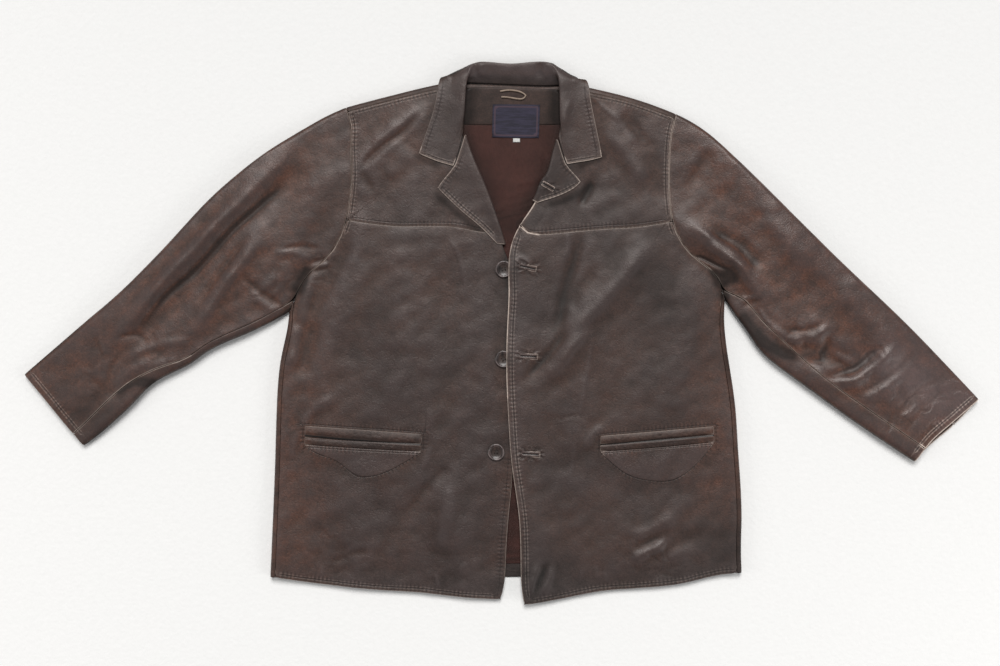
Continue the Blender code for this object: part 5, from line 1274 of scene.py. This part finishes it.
def woven_label():
    cloth = Finish("label_weave")
    edge = cloth.number("edge")
    band = cloth.times(cloth.between(edge, 0.0022, 0.0028), cloth.between(edge, 0.0050, 0.0044))
    threads = cloth.clouds(0.0030, 2.0, 0.6, cloth.stretched(0.0, (0.15, 1.0, 1.0)))
    colour = cloth.blend(cloth.between(threads, 0.3, 0.7), NAVY_DARK, NAVY_LIGHT)
    colour = cloth.blend(cloth.times(band, 0.6), colour, LABEL_BAND)
    skin = cloth.relief(cloth.clouds(0.012, 2.0), 0.0008)
    skin = cloth.relief(weave(cloth, 0.00045), 0.00010, skin)
    return cloth.finish(colour, 0.70, skin, Sheen_Weight=0.05, Sheen_Roughness=0.5)


def white_tape():
    cloth = Finish("tab_tape")
    colour = cloth.blend(cloth.clouds(0.0016, 2.0), TAPE_DARK, TAPE_LIGHT)
    skin = cloth.relief(weave(cloth, 0.00035), 0.00008)
    return cloth.finish(colour, 0.55, skin, Sheen_Weight=0.2)


def tan_cord():
    cord = Finish("loop_leather")
    colour = cord.blend(cord.clouds(0.0040, 3.0, 0.6), CORD_DARK, CORD_LIGHT)
    skin = cord.relief(cord.cells(0.0009), 0.00012)
    return cord.finish(colour, 0.55, skin)


FINISHES.update(lining_cloth=satin(), label_cloth=woven_label(), tab_cloth=white_tape(),
                loop_leather=tan_cord())
print("finishes:", sorted(FINISHES))


# %% [markdown]
# ## The leather pieces
#
# Every cut piece is now dressed in the same way. The large pieces of the upper side, which are looked at
# most, are cut finest. The back lies underneath and stays coarser, and so do the small pocket pieces. Each
# new piece stands for its plain wall and takes the finish that the table of slots below names for it.

# %% Dress the leather
COARSE = 2
FINE = 3
SLEEVES = ("sleeve_left_upper", "sleeve_right_upper", "sleeve_left_under", "sleeve_right_under")
POCKETS = tuple(f"pocket_{side}_{piece}" for side in ("left", "right")
                for piece in ("welt_upper", "welt_lower", "crescent"))
UNDERNEATH = ("back", "back_neck_facing")
LEATHER_PIECES = ("back", "front_left", "front_right", "yoke_left", "yoke_right", *SLEEVES, "collar",
                  "lapel_left", "lapel_right", "back_neck_facing", *POCKETS, *BUTTONHOLES)
COARSE_PIECES = (*UNDERNEATH, *POCKETS, *BUTTONHOLES)
SLOTS = {**dict.fromkeys(SLEEVES, "sleeve_leather"), "collar": "collar_leather"}
dressed = {}


def stand_in(piece, node, slot):
    """The piece rides with the coat and is shown in the place of the plain node."""
    piece.data.materials.append(FINISHES[slot])
    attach(piece, "root")
    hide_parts(node)
    dressed[node] = piece
    return piece


def count_triangles(piece):
    print(f"{piece.name}: {sum(len(face.vertices) - 2 for face in piece.data.polygons)} triangles")


for node in LEATHER_PIECES:
    piece = fine_copy(node, "worn_" + node, COARSE if node in COARSE_PIECES else FINE)
    lift_with_map(piece)
    keep_wear(piece, node)
    keep_tone(piece)
    keep_holes(piece, node)
    keep_places(piece, node)
    stand_in(piece, node, SLOTS.get(node, "brown_leather"))
    count_triangles(piece)


# %% [markdown]
# ## Where the folds stand up
#
# High places of old leather are rubbed and shine. The finish also paints them lighter and greyer as a
# highlight, and paints the hollows darker as shade. How much a point stands up is its height over the mean
# of what lies round it. The heights of the whole upper side are gathered on a grid, the grid is blurred,
# and each point keeps the difference. A pointiness node would read only the mesh next to it and miss the
# broad folds.

# %% Ridges for painted highlight and polish, hollows for painted shade
BLUR_STEP = 0.005
BLUR_ROUNDS = 10
GROUND_SIZE = (0.9, 1.52)
LEAST_FILLED = 0.05
OFF_FLOOR = 0.0075
RIDGE = 0.0016
# How far a welt counts as a ridge, for the painted highlight and the polish.
WELT_HIGHLIGHT_AND_POLISH = 0.2
UPPER_SIDE = [node for node in LEATHER_PIECES if node not in UNDERNEATH]


def blurred(grid):
    """Each cell becomes the mean of itself and its four neighbours."""
    padded = np.pad(grid, 1, mode="edge")
    return (grid + padded[:-2, 1:-1] + padded[2:, 1:-1] + padded[1:-1, :-2] + padded[1:-1, 2:]) / 5


def ground_height():
    """Blurred height of the upper side, and how much of each cell it fills."""
    shape = tuple(int(side / BLUR_STEP) for side in GROUND_SIZE)
    total, count = np.zeros(shape), np.zeros(shape)
    for node in UPPER_SIDE:
        points = points_of(dressed[node].data)
        points = points[points[:, 2] > OFF_FLOOR]
        cell = ((points[:, :2] - MAP_LOW) / BLUR_STEP).astype(int)
        np.add.at(total, (cell[:, 1], cell[:, 0]), points[:, 2])
        np.add.at(count, (cell[:, 1], cell[:, 0]), 1.0)
    mean = total / np.maximum(count, 1)
    filled = (count > 0).astype(float)
    mean *= filled
    for _ in range(BLUR_ROUNDS):
        mean, filled = blurred(mean), blurred(filled)
    return mean / np.maximum(filled, LEAST_FILLED)


GROUND = ground_height()
for node in UPPER_SIDE:
    points = points_of(dressed[node].data)
    spots = (points[:, :2] - MAP_LOW) / BLUR_STEP - 0.5
    mean = read_between(GROUND, np.clip(spots, 0, np.array(GROUND.shape[::-1]) - 2.001))
    highest = WELT_HIGHLIGHT_AND_POLISH if "welt" in node else 1.0
    keep(dressed[node].data, "rise", np.clip((points[:, 2] - mean) / RIDGE, -1.0, highest))
print("mean height of the upper side from", round(1000 * GROUND[GROUND > 0].min(), 1), "to",
      round(1000 * GROUND.max(), 1), "mm")


# %% [markdown]
# ## Lining, label, tab and loop
#
# The satin inside the back has a pleat down its middle that gives the shoulders room, and it ruffles where
# it is loose. It only rises from the back, never into it. The label, the tab and the hanging loop lie over
# it where the cloth is flat.

# %% Dress the inside
PLEAT = smooth_line([(0.0200, 0.2850), (0.0240, 0.2500), (0.0245, 0.2150), (0.0250, 0.1500),
                     (0.0250, 0.0800)])
PLEAT_HEIGHT = 0.0016
PLEAT_WIDTH = 0.0035
WAVE_HEIGHT = 0.0005
RUFFLES = [
    (smooth_line([(-0.030, 0.232), (0.000, 0.222), (0.030, 0.223), (0.070, 0.233)]), 0.0045, 0.0014),
    (smooth_line([(-0.010, 0.275), (-0.004, 0.230), (0.002, 0.180)]), 0.0050, 0.0012),
    (smooth_line([(0.056, 0.270), (0.052, 0.230), (0.046, 0.190)]), 0.0050, 0.0012),
    (smooth_line([(0.012, 0.205), (0.010, 0.165)]), 0.0040, 0.0010),
]


def ruffle(piece):
    """Raises the pleat and the small folds of the loose lining."""
    points = points_of(piece.data)
    places = points[:, :2]
    gap, _ = distance_to(places, PLEAT)
    rise = PLEAT_HEIGHT * hump(gap, PLEAT_WIDTH)
    for line, width, height in RUFFLES:
        gap, _ = distance_to(places, line)
        rise += height * hump(gap, width)
    rise += WAVE_HEIGHT * (1 + np.sin(places[:, 0] / 0.011 + 2 * np.sin(places[:, 1] / 0.05)))
    points[:, 2] += rise * soft_step(places[:, 1], 0.286, 0.262) * soft_step(places[:, 1], -0.345, -0.30)
    move_points(piece.data, points)


INSIDE_PIECES = {
    "lining_back": ("lining_cloth", 3), "label": ("label_cloth", 2), "size_tab": ("tab_cloth", 2),
    "hanger_loop": ("loop_leather", 2),
}
for node, (slot, levels) in INSIDE_PIECES.items():
    piece = fine_copy(node, "worn_" + node, levels)
    if node == "lining_back":
        ruffle(piece)
    keep_places(piece, node)
    stand_in(piece, node, slot)
    count_triangles(piece)


# %% [markdown]
# ## Resin and thread
#
# The buttons are dark resin with faint streaks, like horn. Their rim and the step inside it have been
# rubbed pale, so the finish reads how far a point is from the middle. The thread is waxed and nearly black.

# %% Resin and thread
RESIN_DARK, RESIN_LIGHT, RESIN_RUBBED = (0.012, 0.008, 0.007), (0.045, 0.026, 0.020), (0.190, 0.150, 0.150)
THREAD_DARK, THREAD_LIGHT = (0.014, 0.010, 0.009), (0.050, 0.034, 0.027)


def resin():
    horn = Finish("button_resin")
    streaks = horn.clouds(0.006, 4.0, 0.6, horn.stretched(0.4, (1.0, 0.35, 1.0)))
    colour = horn.blend(horn.between(streaks, 0.35, 0.65), RESIN_DARK, RESIN_LIGHT)
    radius = horn.number("radius")
    rim = horn.times(horn.between(radius, 0.0098, 0.0106), horn.between(radius, 0.0125, 0.0118))
    step = horn.times(horn.between(radius, 0.0080, 0.0083), horn.between(radius, 0.0091, 0.0087))
    rubbed = horn.maths("ADD", rim, horn.times(step, 0.6))
    rubbed = horn.times(rubbed, horn.between(streaks, 0.40, 0.60, 0.25, 0.75))
    colour = horn.blend(horn.maths("MINIMUM", rubbed, 1.0), colour, RESIN_RUBBED)
    skin = horn.relief(horn.clouds(0.0020, 3.0), 0.00012)
    return horn.finish(colour, horn.between(streaks, 0.3, 0.7, 0.28, 0.42), skin, Coat_Weight=0.10)


def sewing_thread():
    thread = Finish("waxed_thread")
    colour = thread.blend(thread.clouds(0.0012, 2.0), THREAD_DARK, THREAD_LIGHT)
    return thread.finish(colour, 0.5, thread.relief(thread.clouds(0.0004, 2.0), 0.00008))


RESIN = resin()
THREAD = sewing_thread()
print("finishes of the hard parts:", RESIN.name, "and", THREAD.name)


# %% [markdown]
# ## Turned buttons
#
# Each button is turned on a lathe: a rounded rim, a step and a dish with four holes. A turned form is a
# profile spun round its axis. The holes are cut through it afterwards, as a drill would, because spinning
# can't make them. Two pairs of strands cross in the dish, from hole to hole.

# %% Turned buttons
BUTTON_PROFILE = [
    (0.0, 0.0002), (0.0112, 0.0002), (0.0124, 0.0009), (0.0129, 0.0017), (0.0127, 0.0026),
    (0.0119, 0.0032), (0.0110, 0.0032), (0.0102, 0.0027), (0.0093, 0.0022), (0.0086, 0.0021),
    (0.0078, 0.0017), (0.0066, 0.0014), (0.0, 0.0013),
]
HOLE_RADIUS = 0.0011
HOLE_OFFSET = 0.0027
ROUND_STEPS = 64
DRILL_SIDES = 20
DRILL_DEPTH = 0.008
HOLE_EDGE = math.radians(38)
STRAND_SIZE = (0.0037, 0.00034, 0.00036, 1.0)
STRAND_GAP = 0.00032
STRAND_HEIGHT = 0.00155


def turned(name, profile):
    """A closed solid spun from its profile."""
    form = bmesh.new()
    corners = [form.verts.new((radius, 0.0, height)) for radius, height in profile]
    edges = [form.edges.new(pair) for pair in zip(corners, corners[1:])]
    bmesh.ops.spin(form, geom=corners + edges, cent=(0, 0, 0), axis=(0, 0, 1), angle=2 * math.pi,
                   steps=ROUND_STEPS, use_merge=True)
    bmesh.ops.remove_doubles(form, verts=form.verts, dist=SAME_PLACE)
    bmesh.ops.recalc_face_normals(form, faces=form.faces)
    return to_piece(form, name)


def to_piece(form, name):
    mesh = bpy.data.meshes.new(name)
    form.to_mesh(mesh)
    form.free()
    mesh.shade_smooth()
    piece = bpy.data.objects.new(name, mesh)
    bpy.context.scene.collection.objects.link(piece)
    return piece


def with_holes(disc):
    """The disc with its four holes cut through."""
    drill = bmesh.new()
    for turn in range(4):
        angle = math.radians(45 + 90 * turn)
        place = Matrix.Translation((HOLE_OFFSET * math.cos(angle), HOLE_OFFSET * math.sin(angle), 0.001))
        bmesh.ops.create_cone(drill, cap_ends=True, segments=DRILL_SIDES, radius1=HOLE_RADIUS,
                              radius2=HOLE_RADIUS, depth=DRILL_DEPTH, matrix=place)
    cutter = to_piece(drill, "drill")
    cut = disc.modifiers.new("holes", "BOOLEAN")
    cut.object, cut.solver = cutter, "EXACT"
    holed = bpy.data.meshes.new_from_object(disc.evaluated_get(bpy.context.evaluated_depsgraph_get()))
    disc.modifiers.clear()
    disc.data = holed
    bpy.data.objects.remove(cutter, do_unlink=True)
    holed.shade_smooth()
    holed.set_sharp_from_angle(angle=HOLE_EDGE)
    return disc


def cross_of_thread(name):
    """Two strands that cross the middle of the dish from hole to hole."""
    strands = bmesh.new()
    for turn in (45, 135):
        for side in (-STRAND_GAP, STRAND_GAP):
            place = (Matrix.Rotation(math.radians(turn), 4, "Z")
                     @ Matrix.Translation((0.0, side, STRAND_HEIGHT)) @ Matrix.Diagonal(STRAND_SIZE))
            bmesh.ops.create_icosphere(strands, subdivisions=2, radius=1.0, matrix=place)
    return to_piece(strands, name)


print("a button is", 2000 * max(radius for radius, _ in BUTTON_PROFILE), "mm wide")


# %% [markdown]
# ## Buttons in their places
#
# Each button sits where the plain one is, lifted with the leather under it, and each is turned a little
# differently, as hand-sewn buttons are. Its mesh is moved and not its object, so that object and frame
# share one origin.

# %% Buttons in their places
BUTTON_TURNS = {1: 12, 2: 35, 3: -8}  # degrees


def settle(piece, place, turn):
    """Moves the mesh itself to its place, so that the object stays at the origin."""
    piece.data.transform(Matrix.Translation(place) @ Matrix.Rotation(math.radians(turn), 4, "Z"))
    piece.data.update()


for number, turn in BUTTON_TURNS.items():
    low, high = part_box(f"button_{number}")
    centre = (low + high) / 2
    place = (centre[0], centre[1], low[2] + lift_at(np.array([[centre[0], centre[1]]]))[0])
    button = with_holes(turned(f"turned_button_{number}", BUTTON_PROFILE))
    keep(button.data, "radius", np.linalg.norm(points_of(button.data)[:, :2], axis=1))
    button.data.materials.append(RESIN)
    sewn_on = cross_of_thread(f"button_thread_{number}")
    sewn_on.data.materials.append(THREAD)
    for piece in (button, sewn_on):
        settle(piece, place, turn)
        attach(piece, "root")
    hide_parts(f"button_{number}")
    print(f"{button.name}: {len(button.data.polygons)} faces, {round(1000 * place[2], 1)} mm up")


# %% [markdown]
# ## Stitches
#
# Each row is a line of short waxed stitches, six millimetres from one to the next. A stitch is a small ball
# drawn out along the row and half sunk in the leather. Its height comes from a ray sent straight down onto
# the dressed piece, so that the row follows every crease. A stitch that would jump from one level to
# another is left out. They could be curves, but joined little bodies are lighter and easier to take along.

# %% Rows of thread
STITCH_LENGTH = 0.0038
STITCH_WIDTH = 0.00056
FROM_ABOVE = 0.08
STEEPEST = 0.003


def evenly(line, pitch):
    """Places at an even pitch along a line, each with its direction."""
    lengths = np.concatenate([[0], np.cumsum(np.linalg.norm(np.diff(line, axis=0), axis=1))])
    marks = np.arange(pitch / 2, lengths[-1], pitch)
    for mark in marks:
        ends = [np.array([np.interp(mark + step, lengths, line[:, axis]) for axis in (0, 1)])
                for step in (-pitch / 3, pitch / 3)]
        yield (ends[0] + ends[1]) / 2, ends


def skins_of(nodes):
    hunt = bpy.context.evaluated_depsgraph_get()
    return [BVHTree.FromObject(dressed[node], hunt) for node in nodes if node in dressed]


def height_on(skins, place):
    hits = [skin.ray_cast(Vector((*place, FROM_ABOVE)), Vector((0, 0, -1)))[0] for skin in skins]
    return max((hit.z for hit in hits if hit is not None), default=None)


def row_of_stitches(name, nodes, line):
    skins = skins_of(nodes)
    thread = bmesh.new()
    count = 0
    for place, ends in evenly(line, STITCH_PITCH):
        heights = [height_on(skins, end) for end in ends]
        if None in heights or abs(heights[0] - heights[1]) > STEEPEST:
            continue
        start, end = (Vector((*spot, height)) for spot, height in zip(ends, heights))
        turn = (end - start).to_track_quat("X", "Z").to_matrix().to_4x4()
        size = Matrix.Diagonal((STITCH_LENGTH / 2, STITCH_WIDTH / 2, STITCH_WIDTH / 2, 1.0))
        bmesh.ops.create_icosphere(thread, subdivisions=1, radius=1.0,
                                   matrix=Matrix.Translation((start + end) / 2) @ turn @ size)
        count += 1
    piece = to_piece(thread, "stitches_" + name)
    piece.data.materials.append(THREAD)
    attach(piece, "root")
    return count


sewn = {name: row_of_stitches(name, nodes, line) for name, (nodes, line) in ROWS.items()}
print("stitches in each row:", sewn)


# %% [markdown]
# ## Flat before sewing
#
# Leather and lining are flat before they are sewn.


# %% [markdown]
# ## Floor
#
# The coat lies on a pale ground. A plain off-white floor shows its outline as clearly. It isn't part of the
# coat.

# %% Floor
FLOOR_REACH = 6.0
FLOOR_DROP = 0.0006


def pale_floor():
    ground = bmesh.new()
    bmesh.ops.create_grid(ground, x_segments=1, y_segments=1, size=FLOOR_REACH)
    mesh = bpy.data.meshes.new("floor")
    ground.to_mesh(mesh)
    ground.free()
    floor = bpy.data.objects.new("floor", mesh)
    floor.location.z = -FLOOR_DROP
    bpy.context.scene.collection.objects.link(floor)
    plaster = Finish("pale_floor")
    colour = plaster.blend(plaster.clouds(0.010, 3.0), (0.88, 0.88, 0.875), (0.93, 0.93, 0.925))
    mesh.materials.append(plaster.finish(colour, 0.8, plaster.relief(plaster.clouds(0.006, 3.0), 0.0006)))
    return floor


pale_floor()
print("the floor lies", 1000 * FLOOR_DROP, "mm under the coat")


# %% [markdown]
